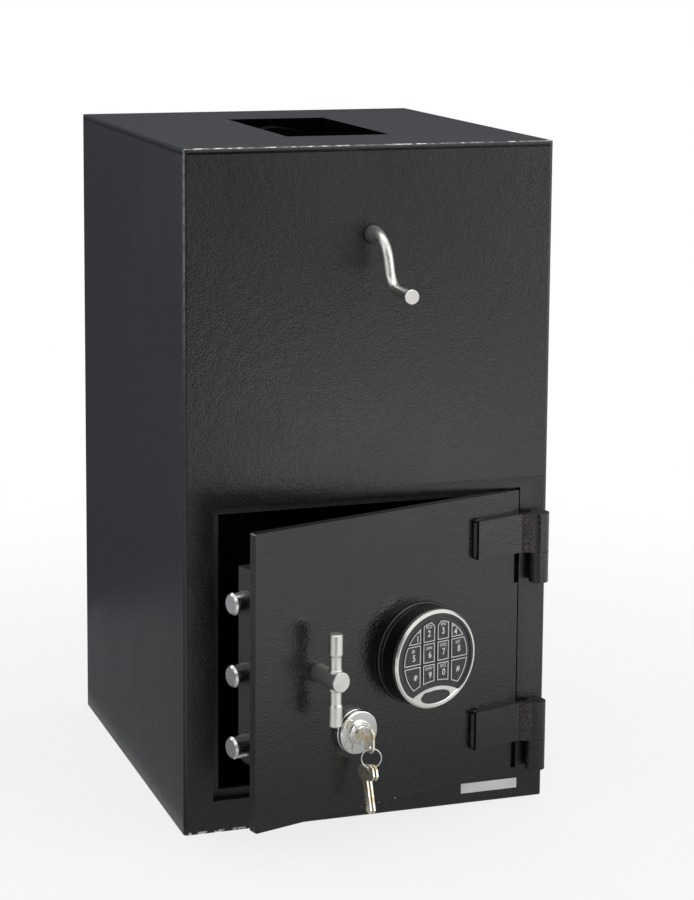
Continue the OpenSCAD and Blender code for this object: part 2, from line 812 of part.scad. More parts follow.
module cross_bar() {
    e = bar_l / 2;
    w0 = hub_d / 2 + 1;
    w1 = e - bar_tip;
    half = [[bar_d / 2, w0 - 1], [waist_d / 2, w0], [waist_d / 2, w1 - 3], [bar_d / 2, w1],
        [bar_d / 2, e - 1.2], [bar_d / 2 - 1.2, e]];
    other = [for (i = [len(half) - 1:-1:0]) [half[i][0], -half[i][1]]];
    color("#d4d6d8") on_door(handle_x, handle_z, bar_out) rotate([-90, 0, 0])
        rotate_extrude() polygon(concat([[0, -e]], other, half, [[0, e]]));
}

module handle_cam() {
    color("#8d9094") on_door(handle_x, handle_z, 0) {
        translate([0, 0, -cam_back]) cylinder(d = cam_d, h = cam_t);
        translate([cam_pin_x - handle_x, cam_pin_z - handle_z, -link_depth - link_t - 2])
            cylinder(d = cam_pin_d, h = link_depth + link_t + 2 - cam_back + 1);
    }
}

// Key lock

module key_rose() {
    r = rose_d / 2;
    color("#dfe1e3") on_door(lock_x, lock_z, 0) rotate_extrude()
        polygon([[barrel_lock_d / 2, 0], [r, 0], [r, 3.2], [r - 0.6, 3.8], [r - 1.8, 3.8], [r - 1.8, 5],
            [r - 0.3, 5.4], [r, 6], [r, rose_h - 1.5], [r - 1.2, rose_h - 0.2], [r - 2.2, rose_h],
            [barrel_lock_d / 2, rose_h]]);
}

module lock_cylinder() {
    b = boss_d / 2;
    back = -link_depth + 1;
    color("#cfd1d3") on_door(lock_x, lock_z, 0) rotate_extrude()
        polygon([[plug_d / 2 + pin_gap, back], [barrel_lock_d / 2, back],
            [barrel_lock_d / 2, rose_h], [b, rose_h], [b, rose_h + boss_h - 2],
            [b - 1.6, rose_h + boss_h - 1.6], [b - 2, rose_h + boss_h - 0.4],
            [b - 2.4, rose_h + boss_h], [plug_d / 2 + pin_gap, rose_h + boss_h]]);
}

module key_plug() {
    back = -link_depth - link_t - 3;
    color("#c8b27a") on_door(lock_x, lock_z, 0) difference() {
        union() {
            translate([0, 0, back]) cylinder(d = plug_d, h = plug_face - back);
            translate([0, 0, plug_seat]) cylinder(d = plug_d + 1.5, h = plug_rim);
        }
        block([-blade_t / 2 - 0.2, -blade_w / 2 - 0.3, bow_mid - bow_l / 2 - blade_l - 1.5],
            [blade_t / 2 + 0.2, blade_w / 2 + 0.3, plug_face + 1]);
    }
}

module plug_lever() {
    color("#8d9094") on_door(lock_x, lock_z, -link_depth - link_t) difference() {
        union() {
            cylinder(d = plug_d + 6, h = link_t);
            block([0, -lever_w / 2, 0], [lever_l, lever_w / 2, link_t]);
        }
        translate([0, 0, -eps]) cylinder(d = plug_d, h = link_t + 2 * eps);
    }
}

// A key's outline: bow round the origin, blade along +X, hole to the -Y side
module key_outline(cuts) {
    c = 4;
    l = bow_l / 2;
    w = bow_w / 2;
    s = bow_drop;
    difference() {
        union() {
            polygon([[-l, -w + c], [-l + c, -w], [l - c, -w], [l, -w + c],
                [l, w - c], [l - c, w], [-l + c, w], [-l, w - c]]);
            polygon([[l - 1, s - blade_w / 2], [l + blade_l - 3, s - blade_w / 2], [l + blade_l, s - 1],
                [l + blade_l - 3, s + blade_w / 2], [l - 1, s + blade_w / 2]]);
        }
        translate([-bow_hole_out, -bow_hole_off]) circle(d = bow_hole_d, $fn = 32);
        for (i = [0:len(cuts) - 1])
            translate([l + 8 + i * 4, s + blade_w / 2])
                polygon([[-2, eps], [-0.8, -cuts[i]], [0.8, -cuts[i]], [2, eps]]);
    }
}

module door_key() {
    color("#b9a878") on_door(lock_x + blade_t / 2, lock_z - bow_drop, bow_mid) rotate([0, -90, 0])
        mirror([1, 0, 0]) linear_extrude(blade_t) key_outline([1.2, 2, 0.8, 1.6, 1]);
}

module key_ring() {
    color("silver") on_door(lock_x, ring_mid_z, ring_out) rotate([0, ring_turn, 0])
        rotate_extrude($fn = 64) translate([ring_d / 2, 0]) circle(d = ring_wire_d, $fn = 24);
}

// A spare key that hangs on the ring by its hole
module spare_key(side, cuts) {
    x = side * spare_pitch / 2;
    u = lock_x + x * cos(ring_turn) + blade_t / 2;
    out = ring_out - x * sin(ring_turn);
    color("#b9a878") on_door(u, spare_z, out) rotate([0, -90, 0]) rotate([0, 0, spare_tilt - 90])
        linear_extrude(blade_t) translate([bow_hole_out, -bow_hole_off]) mirror([0, 1]) key_outline(cuts);
}

module spare_key_front() {
    spare_key(-1, [1.4, 0.8, 2, 1.2, 1.8]);
}

module spare_key_back() {
    spare_key(1, [1.4, 0.8, 2, 1.2, 1.8]);
}

// Keypad

module pad_base() {
    color("#1b1b1d") on_door(pad_x, pad_z, 0) difference() {
        rotate_extrude() polygon([[0, 0], [pad_base_d / 2, 0], [pad_base_d / 2, pad_base_t - 1],
            [pad_base_d / 2 - 1, pad_base_t], [0, pad_base_t]]);
        translate([0, 0, -eps]) cylinder(d = cable_hole_d, h = pad_base_t + 2 * eps);
    }
}

module pad_housing() {
    r = pad_d / 2;
    color("#1b1b1d") on_door(pad_x, pad_z, 0) rotate_extrude()
        polygon([[r - pad_wall, pad_base_t], [r + 0.8, pad_base_t], [r + 0.8, pad_base_t + 2],
            [r + 0.2, pad_base_t + 3], [r, pad_top], [r - pad_wall, pad_top]]);
}

module crescent() {
    intersection() {
        circle(d = face_d + 2 * eps);
        translate([0, crescent_z]) circle(r = crescent_r, $fn = 96);
    }
}

module pad_bezel() {
    r = pad_d / 2 + 0.5;
    color("#cfcdc6") on_door(pad_x, pad_z, 0) {
        rotate_extrude($fn = 96) polygon([[face_d / 2, pad_top], [r, pad_top], [r, pad_reach - 1.6],
            [r - 1.6, pad_reach], [face_d / 2 + 0.8, pad_reach], [face_d / 2, pad_reach - 0.6]]);
        translate([0, 0, face_top]) difference() {
            linear_extrude(pad_reach - 0.5 - face_top) crescent();
            translate([0, oval_z, pad_reach - 1.2 - face_top]) linear_extrude(2) {
                square([oval_w - oval_h, oval_h], center = true);
                for (s = [-1, 1])
                    translate([s * (oval_w - oval_h) / 2, 0]) circle(d = oval_h);
            }
        }
    }
}

// Outline of one key of the pad, grown by g on every side: the middle keys of the top row leave room
// for the lamp between them, and those of the bottom row follow the crescent
module button_outline(row, col, g) {
    difference() {
        intersection() {
            box2(button_cols[col][0] - g, button_rows[row][0] - g,
                button_cols[col][1] + g, button_rows[row][1] + g);
            circle(d = buttons_d + 2 * g, $fn = 96);
        }
        translate([0, dot_z]) circle(r = dot_cut - g * sqrt(2), $fn = 4);
        translate([0, crescent_z]) circle(r = crescent_r + crescent_rim - g, $fn = 96);
    }
}

module pad_face() {
    color("#45474b") on_door(pad_x, pad_z, face_top - face_t) difference() {
        cylinder(d = face_d, h = face_t, $fn = 96);
        translate([0, dot_z, face_t - lamp_depth]) cylinder(d = dot_d, h = lamp_depth + eps);
        translate([0, 0, -eps]) linear_extrude(face_t + 2 * eps)
            for (row = [0:2], col = [0:3])
                button_outline(row, col, button_gap);
    }
}

module pad_button(row, col) {
    color("#3c3e42") on_door(pad_x, pad_z, face_top - face_t) {
        linear_extrude(face_t + button_proud) button_outline(row, col, 0);
    }
}

module pad_board() {
    color("#2f6b43") on_door(pad_x, pad_z, pad_top - board_drop)
        cylinder(d = pad_d - 2 * pad_wall, h = board_t);
}

module pad_battery() {
    color("#55585c") on_door(pad_x, pad_z, pad_base_t)
        translate([-battery_l / 2, -battery_low, 0])
            cube([battery_l, battery_w, pad_top - board_drop - pad_base_t]);
}

body_shell();
top_plate();
door_frame();
stop_frame();
strike_bar();
body_knuckles();
hinge_pins();
chute_collar();
drum_guards();
hanger_plates();
drum_bushings();
shaft_guide();
drum_shell();
drum_ends();
front_shaft();
rear_shaft();
shaft_collar();
crank();
crank_cap();
door_plate();
upper_leaf();
lower_leaf();
bolt_cover();
cover_screws();
dead_bar();
handle_bushing();
bar_guide();
lock_case();
key_rose();
lock_cylinder();
pad_base();
pad_housing();
pad_bezel();
pad_face();
pad_board();
pad_battery();
pad_button(0, 0);  // button_1
pad_button(0, 1);  // button_2
pad_button(0, 2);  // button_3
pad_button(0, 3);  // button_4
pad_button(1, 0);  // button_5
pad_button(1, 1);  // button_6
pad_button(1, 2);  // button_7
pad_button(1, 3);  // button_8
pad_button(2, 0);  // button_star
pad_button(2, 1);  // button_9
pad_button(2, 2);  // button_0
pad_button(2, 3);  // button_hash
handle_shaft();
cross_bar();
handle_cam();
carry_bar();
locking_bolts();
lock_bolt();
key_plug();
plug_lever();
door_key();
key_ring();
spare_key_front();
spare_key_back();
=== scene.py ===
# %% [markdown]
# # The looks of a rotary hopper deposit safe
# The construction comes in as a fixed frame. This notebook gives each surface its finish, and adds what is
# too fine for the construction: softened edges, weld beads, the print on the keys, bare plates and wear. It
# also paints highlights along two edges and shade inside the drum.

# %% Load the frame
import json
import math
import random

import bmesh
import bpy
from mathutils import Matrix, Vector, noise


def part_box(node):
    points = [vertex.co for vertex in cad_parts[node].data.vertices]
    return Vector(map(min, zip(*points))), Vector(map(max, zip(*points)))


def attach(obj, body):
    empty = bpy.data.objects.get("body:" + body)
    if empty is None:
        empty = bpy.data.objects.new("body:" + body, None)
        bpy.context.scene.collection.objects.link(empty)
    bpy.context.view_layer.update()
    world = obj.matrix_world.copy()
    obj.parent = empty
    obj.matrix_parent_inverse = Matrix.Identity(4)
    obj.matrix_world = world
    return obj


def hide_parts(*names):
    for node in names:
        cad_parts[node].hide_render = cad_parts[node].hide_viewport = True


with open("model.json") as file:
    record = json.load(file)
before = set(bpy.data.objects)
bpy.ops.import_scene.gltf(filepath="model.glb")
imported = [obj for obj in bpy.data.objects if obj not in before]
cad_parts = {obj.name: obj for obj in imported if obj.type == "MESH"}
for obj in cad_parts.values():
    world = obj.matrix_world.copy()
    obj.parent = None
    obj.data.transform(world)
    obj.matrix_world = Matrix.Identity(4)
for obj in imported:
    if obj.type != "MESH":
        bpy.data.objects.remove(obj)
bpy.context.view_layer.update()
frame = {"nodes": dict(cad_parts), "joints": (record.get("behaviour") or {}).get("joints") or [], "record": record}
MM = 0.001

# %% [markdown]
# ## The camera
# The photograph looks down a little at the front from the left, through a fairly long lens. The numbers come
# from lining up the corners of the body and of the open door with the picture: where the camera stands, how
# far it turns and tips, and its focal length in pixels. The centre of the lens lies well above the middle of
# the picture, as in a photograph that was cropped, and is set as a lens shift.

# %% Camera
IMAGE = (694, 900)
FOCAL_PX = 2422.0
YAW, PITCH, ROLL = math.radians(18.97), math.radians(8.24), math.radians(0.44)
CAMERA_AT = (-0.7932, -2.4473, 0.9045)
CENTRE_V = 270.0
SENSOR = 36.0

camera_data = bpy.data.cameras.new("camera")
camera_data.sensor_width = SENSOR
camera_data.lens = FOCAL_PX * SENSOR / IMAGE[1]
camera_data.shift_y = (CENTRE_V - IMAGE[1] / 2) / IMAGE[1]
camera = bpy.data.objects.new("camera", camera_data)
look = Vector((math.sin(YAW) * math.cos(PITCH), math.cos(YAW) * math.cos(PITCH), -math.sin(PITCH)))
camera.matrix_world = (Matrix.Translation(CAMERA_AT) @ look.to_track_quat("-Z", "Y").to_matrix().to_4x4()
                       @ Matrix.Rotation(ROLL, 4, "Z"))
bpy.context.scene.collection.objects.link(camera)
bpy.context.scene.camera = camera
bpy.context.scene.view_settings.view_transform = "Standard"
print("camera at", CAMERA_AT, "lens", round(camera_data.lens, 1), "mm")

# %% [markdown]
# ## Colours
# Colours are written as the hex values that a screen shows, and turned to the linear light that the renderer
# works in.


# %% Colour helper
def linear(hex_colour):
    """An sRGB hex colour as linear red, green, blue and alpha."""
    parts = [int(hex_colour[i:i + 2], 16) / 255 for i in (1, 3, 5)]
    return tuple(c / 12.92 if c <= 0.04045 else ((c + 0.055) / 1.055) ** 2.4 for c in parts) + (1.0,)


print("mid grey is", [round(c, 3) for c in linear("#808080")[:3]])

# %% [markdown]
# ## One helper for nodes
# A shader is a graph of nodes. One function adds a node with its settings and links what comes in, so that
# each material below reads as a list of what the surface is made of. A second one starts a material, and a
# third closes it with the Principled shader, whose constants are set on its own sockets.


# %% Node helpers
def add(tree, kind, inputs=None, stops=(), **settings):
    """Adds a node. An input that is a node or a socket is linked, anything else is set as a value."""
    made = tree.nodes.new(kind)
    for name, value in settings.items():
        setattr(made, name, value)
    for name, value in (inputs or {}).items():
        source = value.outputs[0] if isinstance(value, bpy.types.Node) else value
        if isinstance(source, bpy.types.NodeSocket):
            tree.links.new(source, made.inputs[name])
        else:
            made.inputs[name].default_value = source
    for number, (position, colour) in enumerate(stops):
        if number == len(made.color_ramp.elements):
            made.color_ramp.elements.new(position)
        made.color_ramp.elements[number].position = position
        made.color_ramp.elements[number].color = linear(colour)
    return made


def start(name):
    """A new empty material, its node tree, and the point on the object in metres."""
    material = bpy.data.materials.new(name)
    material.use_nodes = True
    material.node_tree.nodes.clear()
    tree = material.node_tree
    return material, tree, add(tree, "ShaderNodeTexCoord").outputs["Object"]


def close(tree, inputs):
    """Ends a material with the Principled shader."""
    shader = add(tree, "ShaderNodeBsdfPrincipled", inputs)
    add(tree, "ShaderNodeOutputMaterial", {"Surface": shader})


def per_metre(size_mm):
    """A pattern's scale for features that are this many millimetres apart."""
    return 1000.0 / size_mm


print("a 2 mm grain has scale", per_metre(2))

# %% [markdown]
# ## Powder coat
# The finish is read as black polyester powder that was sprayed on and baked. Such powder flows into a skin
# with a fine pebbled texture, called orange peel: the base is nearly black, and what the eye reads is the room
# mirrored in the bumps. A Voronoi pattern makes the pebbles, and slow noise the flow between them. Dust that
# sits between the pebbles is a little lighter, and the gloss drifts slightly, because no sprayed coat is even.
# Real orange peel is one to two millimetres across; the grain here is 2.0 to 2.4, so that it shows at this
# size.
# At the hinges' bends and on the lower part of the door the photographed coat looks coarser, which is drawn as
# crinkles. A coat that went on too thick dries so, but what the cause was there is a guess.


# %% Powder coat
CRINKLE = 6.0
CRINKLE_MM = 2.4
CLOUD_MM = 110
# Bare steel. The same colour also paints highlights along two rounded edges.
BARE_STEEL_AND_HIGHLIGHT = "#dad7d0"


def powder_coat(name, colour, dust, rough, grain_mm, depth_mm, bare_and_highlight=None, thick=None, speck="#3a2b24",
                ior=1.55):
    """A black sprayed coat. bare_and_highlight(tree, point) may return a 0 to 1 mask of rubbed metal and of
    painted edge highlight, and thick a 0 to CRINKLE one of where the coat is crinkled."""
    material, tree, point = start(name)
    pebbles = add(tree, "ShaderNodeTexVoronoi", {"Vector": point, "Scale": per_metre(grain_mm)})
    flow = add(tree, "ShaderNodeTexNoise", {"Vector": point, "Scale": per_metre(6 * grain_mm), "Detail": 1.0})
    height = add(tree, "ShaderNodeMath", {0: pebbles.outputs["Distance"], 1: -0.5, 2: flow},
                 operation="MULTIPLY_ADD")
    if thick:
        crinkle = add(tree, "ShaderNodeTexNoise", {"Vector": point, "Scale": per_metre(CRINKLE_MM), "Detail": 3.0})
        bend = thick(tree, point)
        height = add(tree, "ShaderNodeMath", {0: crinkle, 1: bend, 2: height}, operation="MULTIPLY_ADD")
    bump = add(tree, "ShaderNodeBump", {"Height": height, "Distance": depth_mm * MM})
    grain = add(tree, "ShaderNodeTexNoise", {"Vector": point, "Scale": per_metre(grain_mm), "Detail": 3.0})
    base = add(tree, "ShaderNodeValToRGB", {"Fac": grain}, stops=[(0.42, colour), (0.64, dust)])
    if thick:
        specks = add(tree, "ShaderNodeMapRange", {"Value": crinkle, "From Min": 0.5, "From Max": 0.62,
                                                  "To Max": 1 / CRINKLE})
        specks = add(tree, "ShaderNodeMath", {0: specks, 1: bend}, operation="MULTIPLY")
        base = add(tree, "ShaderNodeMix", {0: specks, 6: base, 7: linear(speck)}, data_type="RGBA").outputs[2]
    cloud = add(tree, "ShaderNodeTexNoise", {"Vector": point, "Scale": per_metre(CLOUD_MM), "Detail": 3.0})
    sheen = add(tree, "ShaderNodeMapRange", {"Value": cloud, "From Min": 0.35, "From Max": 0.65,
                                             "To Min": rough - 0.02, "To Max": rough + 0.03})
    inputs = {"Base Color": base, "Roughness": sheen, "Normal": bump, "IOR": ior}
    # Where the mask is 1 the coat turns to bare steel: rubbed metal at the foot and the door's chips, and a
    # painted highlight on the front left edge and the top's front edge.
    if bare_and_highlight:
        mask = bare_and_highlight(tree, point)
        mixed = add(tree, "ShaderNodeMix", {0: mask, 6: base, 7: linear(BARE_STEEL_AND_HIGHLIGHT)}, data_type="RGBA")
        metal = add(tree, "ShaderNodeMath", {0: mask, 1: 0.5}, operation="MULTIPLY")
        inputs.update({"Base Color": mixed.outputs[2], "Metallic": metal})
    close(tree, inputs)
    return material


# %% [markdown]
# ## Where the coat is rubbed, and painted edge highlights
# The photograph shows a fine light line along the front edge of the top and down the upper part of the front
# left edge, and a ragged foot at its left. The two fine lines are the light that rounded edges catch: they are
# painted highlights, drawn in the colour of bare metal, the line on top brighter than the photographed one. The
# ragged foot is read as a place where the coat has rubbed off, and is drawn as bare metal. The few small chips
# on the door's lower edge aren't in the photograph: they are added, as wear that such a door gets. Each line is
# a dot product, which measures the distance across an edge, times a noise that breaks it up.

# %% Rubbed edges and painted edge highlights
BODY_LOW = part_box("body_shell")[0]
TOP_LOW, TOP_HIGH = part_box("top_plate")
DOOR_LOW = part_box("door_plate")[0]
FRONT_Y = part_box("door_frame")[0].y
TOP_EDGE = 1.5 * MM
# Heights over which the painted highlight on the front left edge comes in.
CORNER_FROM_Z, CORNER_FULL_Z = 0.44, 0.6
FOOT_FROM_X, FOOT_FULL_X = -0.08, -0.14
BEND_X, BEND_REACH, BEND_FULL = 0.166, 0.010, 0.004
PEBBLES_FROM_Z, PEBBLES_FULL_Z, PEBBLES_HIGH = 0.31, 0.22, 1.5


def edge_line(tree, point, direction, at, width_mm):
    """1 on a strip beside an edge: direction points away from the edge, at is the edge's own value."""
    across = add(tree, "ShaderNodeVectorMath", {0: point, 1: direction}, operation="DOT_PRODUCT")
    return add(tree, "ShaderNodeMapRange", {"Value": across.outputs["Value"], "From Min": at + 0.7 * width_mm * MM,
                                            "From Max": at + width_mm * MM, "To Min": 1.0, "To Max": 0.0})


def broken_up(tree, point, mask, size_mm, low, high):
    """The mask, broken up by noise that is 0 below low and 1 above high."""
    grain = add(tree, "ShaderNodeTexNoise", {"Vector": point, "Scale": per_metre(size_mm), "Detail": 4.0})
    patch = add(tree, "ShaderNodeMapRange", {"Value": grain, "From Min": low, "From Max": high})
    return add(tree, "ShaderNodeMath", {0: mask, 1: patch}, operation="MULTIPLY")


def body_bare_and_highlight(tree, point):
    """A painted highlight down the upper part of the front left edge, and bare metal at the left end of the foot.
    """
    # The corner strip is a painted highlight; the foot strip is coat rubbed off.
    corner = edge_line(tree, point, (1, 1, 0), BODY_LOW.x + FRONT_Y, 2.6)
    parts = add(tree, "ShaderNodeSeparateXYZ", {"Vector": point}).outputs
    upper = add(tree, "ShaderNodeMapRange", {"Value": parts["Z"], "From Min": CORNER_FROM_Z,
                                             "From Max": CORNER_FULL_Z})
    corner = add(tree, "ShaderNodeMath", {0: corner, 1: upper}, operation="MULTIPLY")
    corner = broken_up(tree, point, corner, 9, 0.3, 0.55)
    foot = broken_up(tree, point, edge_line(tree, point, (0, 1, 1), FRONT_Y, 3.0), 9, 0.5, 0.54)
    left = add(tree, "ShaderNodeMapRange", {"Value": parts["X"], "From Min": FOOT_FROM_X,
                                            "From Max": FOOT_FULL_X})
    foot = add(tree, "ShaderNodeMath", {0: foot, 1: left}, operation="MULTIPLY")
    return add(tree, "ShaderNodeMath", {0: corner, 1: foot}, operation="MAXIMUM")


def top_edge_highlight(tree, point):
    """A painted highlight on the front edge of the top plate, where its bevel meets the upper face."""
    line = edge_line(tree, point, (0, 0.4, -1), 0.4 * (TOP_LOW.y + TOP_EDGE) - TOP_HIGH.z, 0.45)
    return broken_up(tree, point, line, 7, 0.4, 0.62)


def door_bare(tree, point):
    """Small chips on the door's lower edge."""
    return broken_up(tree, point, edge_line(tree, point, (0, 0, 1), DOOR_LOW.z, 1.0), 5, 0.64, 0.7)


def hinge_bend(tree, point):
    """The hinges between the leaves' bends and the barrels."""
    across = add(tree, "ShaderNodeSeparateXYZ", {"Vector": point}).outputs["X"]
    aside = add(tree, "ShaderNodeMath", {0: across, 1: BEND_X}, operation="SUBTRACT")
    aside = add(tree, "ShaderNodeMath", {0: aside}, operation="ABSOLUTE")
    return add(tree, "ShaderNodeMapRange", {"Value": aside, "From Min": BEND_REACH, "From Max": BEND_FULL,
                                            "To Min": 0.0, "To Max": CRINKLE})


def door_pebbles(tree, point):
    """The lower part of the door, whose coat looks coarser."""
    height = add(tree, "ShaderNodeSeparateXYZ", {"Vector": point}).outputs["Z"]
    return add(tree, "ShaderNodeMapRange", {"Value": height, "From Min": PEBBLES_FROM_Z,
                                            "From Max": PEBBLES_FULL_Z, "To Min": 0.0, "To Max": PEBBLES_HIGH})


# %% Powder coat materials
# The masks of the body and the top paint edge highlights as well as rubbed metal; the door's mask is chips.
coat_body = powder_coat("powder_coat_body", "#080809", "#202021", 0.30, 2.0, 0.26, body_bare_and_highlight)
coat_top = powder_coat("powder_coat_top", "#0e0f11", "#1a1b1e", 0.36, 2.4, 0.10, top_edge_highlight)
coat_door = powder_coat("powder_coat_door", "#080809", "#181818", 0.17, 2.2, 0.2, door_bare, door_pebbles,
                        "#242424")
coat_hinge = powder_coat("powder_coat_hinge", "#0c0c0c", "#241e1a", 0.20, 2.0, 0.30, thick=hinge_bend)
coat_inner = powder_coat("powder_coat_inner", "#262628", "#33322f", 0.45, 2.0, 0.08)
# The drum's coat is nearly black and barely reflects: painted shade inside the safe and on the sides of the top's
# mouth.
coat_drum_painted_shade = powder_coat("powder_coat_drum_painted_shade", "#030303", "#070707", 0.9, 2.0, 0.08, ior=1.05)
print("powder coats made")

# %% [markdown]
# ## Turned and plated metals
# The crank and the T handle are read as stainless steel, turned and polished: fine rings run round them, and
# the highlights are soft. The bolts and the lock's rose look chromium plated, so they are smoother and
# brighter. Zinc plate is used inside, where the photograph doesn't reach. The rings are a noise that is
# stretched across the axis of the turning. Real ones are a few hundredths of a millimetre apart, and are drawn
# ten times coarser or more, so that they show. Each metal keeps the default IOR, because its look comes from
# its colour and roughness.


# %% Turned metal
def turned(name, colour, stain, rough, ring_mm, axis, depth_mm=0.006):
    """Metal with fine tool rings round the axis that is named."""
    material, tree, point = start(name)
    stretch = {"X": (1, 0.06, 0.06), "Y": (0.06, 1, 0.06), "Z": (0.06, 0.06, 1)}[axis]
    drawn = add(tree, "ShaderNodeMapping", {"Vector": point, "Scale": stretch})
    rings = add(tree, "ShaderNodeTexNoise", {"Vector": drawn, "Scale": per_metre(ring_mm), "Detail": 3.0})
    cloud = add(tree, "ShaderNodeTexNoise", {"Vector": point, "Scale": per_metre(22), "Detail": 3.0})
    base = add(tree, "ShaderNodeValToRGB", {"Fac": cloud}, stops=[(0.35, colour), (0.75, stain)])
    sheen = add(tree, "ShaderNodeMapRange", {"Value": rings, "To Min": rough - 0.07, "To Max": rough + 0.09})
    bump = add(tree, "ShaderNodeBump", {"Height": rings, "Strength": 0.6, "Distance": depth_mm * MM})
    close(tree, {"Base Color": base, "Roughness": sheen, "Normal": bump, "Metallic": 1.0})
    return material


stainless_crank = turned("stainless_steel_crank", "#e4e3df", "#d2d0cb", 0.36, 0.5, "Z")
stainless_bar = turned("stainless_steel_bar", "#e2e1dd", "#cfcdc8", 0.35, 0.4, "Z")
stainless_hub = turned("stainless_steel_hub", "#d6d5d1", "#c3c1bc", 0.38, 0.5, "Y")
chrome_bolt = turned("chromium_plate_bolt", "#d6d6d4", "#c6c5c1", 0.24, 0.8, "X", 0.003)
chrome_rose = turned("chromium_plate_rose", "#e3e3e1", "#d2d2cf", 0.09, 1.2, "Y", 0.002)
zinc = turned("zinc_plated_steel", "#a9abaa", "#8f918f", 0.38, 0.8, "X")
bearing_bronze = turned("bearing_bronze", "#b08a52", "#97743f", 0.35, 0.5, "Y")
satin_nickel = turned("satin_nickel_bezel", "#e4e3de", "#d8d6d0", 0.2, 0.35, "Y", 0.003)
print("turned metals made")

# %% [markdown]
# ## Key metal
# The keys are read as nickel plated brass. Where the plate wears thin the yellow brass shows, in patches that
# a noise lays out, and a pocket leaves fine scratches.

# %% Key metal
key_nickel, tree, point = start("nickel_plated_brass")
rubbed = add(tree, "ShaderNodeTexNoise", {"Vector": point, "Scale": per_metre(7), "Detail": 4.0})
base = add(tree, "ShaderNodeValToRGB", {"Fac": rubbed}, stops=[(0.44, "#f2efe6"), (0.68, "#dcc793")])
scratch = add(tree, "ShaderNodeTexNoise", {"Vector": point, "Scale": per_metre(0.5), "Detail": 2.0})
bump = add(tree, "ShaderNodeBump", {"Height": scratch, "Strength": 0.4, "Distance": 0.01 * MM})
close(tree, {"Base Color": base, "Normal": bump, "Metallic": 1.0, "Roughness": 0.42})
print("key metal made")

# %% [markdown]
# ## Plastics, ink and foil
# The keypad's housing is taken for injection moulded ABS with a soft dark sheen and almost no texture. Its
# face and keys look like matt mouldings with a fine grain, as a spark-eroded mould leaves. The figures and
# outlines on the keys are in a warm light grey ink, as pad printing gives. The oval plate is bare dark plastic
# and the front label bare foil. One function makes them all: a colour with a slight cloud in it, and a grain.


# %% Moulded plastic
def moulded(name, colour, darker, rough, grain_mm, depth_mm):
    """A smooth non-metal with a slight cloud in its colour and a fine grain."""
    material, tree, point = start(name)
    cloud = add(tree, "ShaderNodeTexNoise", {"Vector": point, "Scale": per_metre(30), "Detail": 2.0})
    base = add(tree, "ShaderNodeValToRGB", {"Fac": cloud}, stops=[(0.35, darker), (0.65, colour)])
    grain = add(tree, "ShaderNodeTexNoise", {"Vector": point, "Scale": per_metre(grain_mm), "Detail": 2.0})
    sheen = add(tree, "ShaderNodeMapRange", {"Value": grain, "To Min": rough - 0.05, "To Max": rough + 0.05})
    bump = add(tree, "ShaderNodeBump", {"Height": grain, "Strength": 0.5, "Distance": depth_mm * MM})
    close(tree, {"Base Color": base, "Roughness": sheen, "Normal": bump, "IOR": 1.5})
    return material


abs_gloss = moulded("abs_gloss_black", "#0d0d0e", "#0a0a0b", 0.3, 3.0, 0.006)
abs_face = moulded("abs_matt_face", "#2d2c2f", "#29282b", 0.42, 0.5, 0.01)
abs_button = moulded("abs_matt_button", "#29292c", "#252528", 0.38, 0.5, 0.01)
print_ink = moulded("pad_print_ink", "#cfcfcb", "#c2c2be", 0.5, 0.4, 0.004)
name_plate = moulded("name_plate_bare", "#2f2e32", "#2a292d", 0.35, 0.6, 0.008)
label_foil = moulded("label_foil_bare", "#e6e5e4", "#d9d7d8", 0.33, 0.8, 0.006)
board_green = moulded("solder_mask_green", "#1f5a38", "#1a4d30", 0.3, 1.0, 0.006)
battery_wrap = moulded("battery_wrap", "#2a2b30", "#232429", 0.3, 1.5, 0.006)
print("plastics made")

# %% [markdown]
# ## Pieces whose shape is already right
# Inside the safe, the frame's own meshes are good enough as they are. They keep their mesh and only get a
# material. Round parts are shaded smooth, with their edges kept hard.


# %% Plain pieces
HARD_DEG = 28


def shade(piece, material):
    """Gives a piece one material."""
    piece.data.materials.clear()
    piece.data.materials.append(material)


def smooth(piece, degrees=HARD_DEG):
    """Smooth shading, with edges above an angle kept hard."""
    piece.data.polygons.foreach_set("use_smooth", [True] * len(piece.data.polygons))
    piece.data.set_sharp_from_angle(angle=math.radians(degrees))


PLAIN = {
    coat_inner: ["stop_frame", "hanger_plates", "shaft_guide", "bar_guide", "handle_bushing"],
    # The drum's parts get the near-black coat that paints the shade inside.
    coat_drum_painted_shade: ["chute_collar", "drum_guards", "drum_ends"],
    zinc: ["strike_bar", "shaft_collar", "carry_bar", "handle_cam", "plug_lever", "lock_case"],
    stainless_crank: ["front_shaft", "rear_shaft", "hinge_pins"],
    bearing_bronze: ["drum_bushings", "lock_bolt"],
    board_green: ["pad_board"],
    battery_wrap: ["pad_battery"],
    abs_face: ["pad_face"],
}
for material, nodes in PLAIN.items():
    for name in nodes:
        shade(frame["nodes"][name], material)
        smooth(frame["nodes"][name])
print("plain pieces:", sum(len(nodes) for nodes in PLAIN.values()))

# %% [markdown]
# ## Softened edges
# Steel plate and machined parts never have knife edges: a narrow rounded edge catches the light as a thin
# bright line. So the pieces that show are copied, their split corners joined, and their edges bevelled, by
# 0.05 mm on the split ring and by up to 1.2 mm on the body and the hinges. The copy then stands in for the
# piece. Where two sheets are taken to be welded and ground flush, as at the top plate and above the door, no
# seam is drawn, so edges at those heights stay sharp. The rim of the top plate has the coat of the body, and
# the sides of its mouth the drum's near-black coat, which paints them in shade.

# %% Soften helper
SAME_POINT = 0.002 * MM
SEAM_REACH = 0.05 * MM
BODY_OF = {node: body for body, nodes in frame["record"]["behaviour"]["bodies"].items() for node in nodes}


def add_piece(name, mesh, material, body):
    """Puts a mesh into the scene as a piece of the object."""
    piece = bpy.data.objects.new(name, mesh)
    bpy.context.scene.collection.objects.link(piece)
    shade(piece, material)
    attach(piece, body)
    return piece


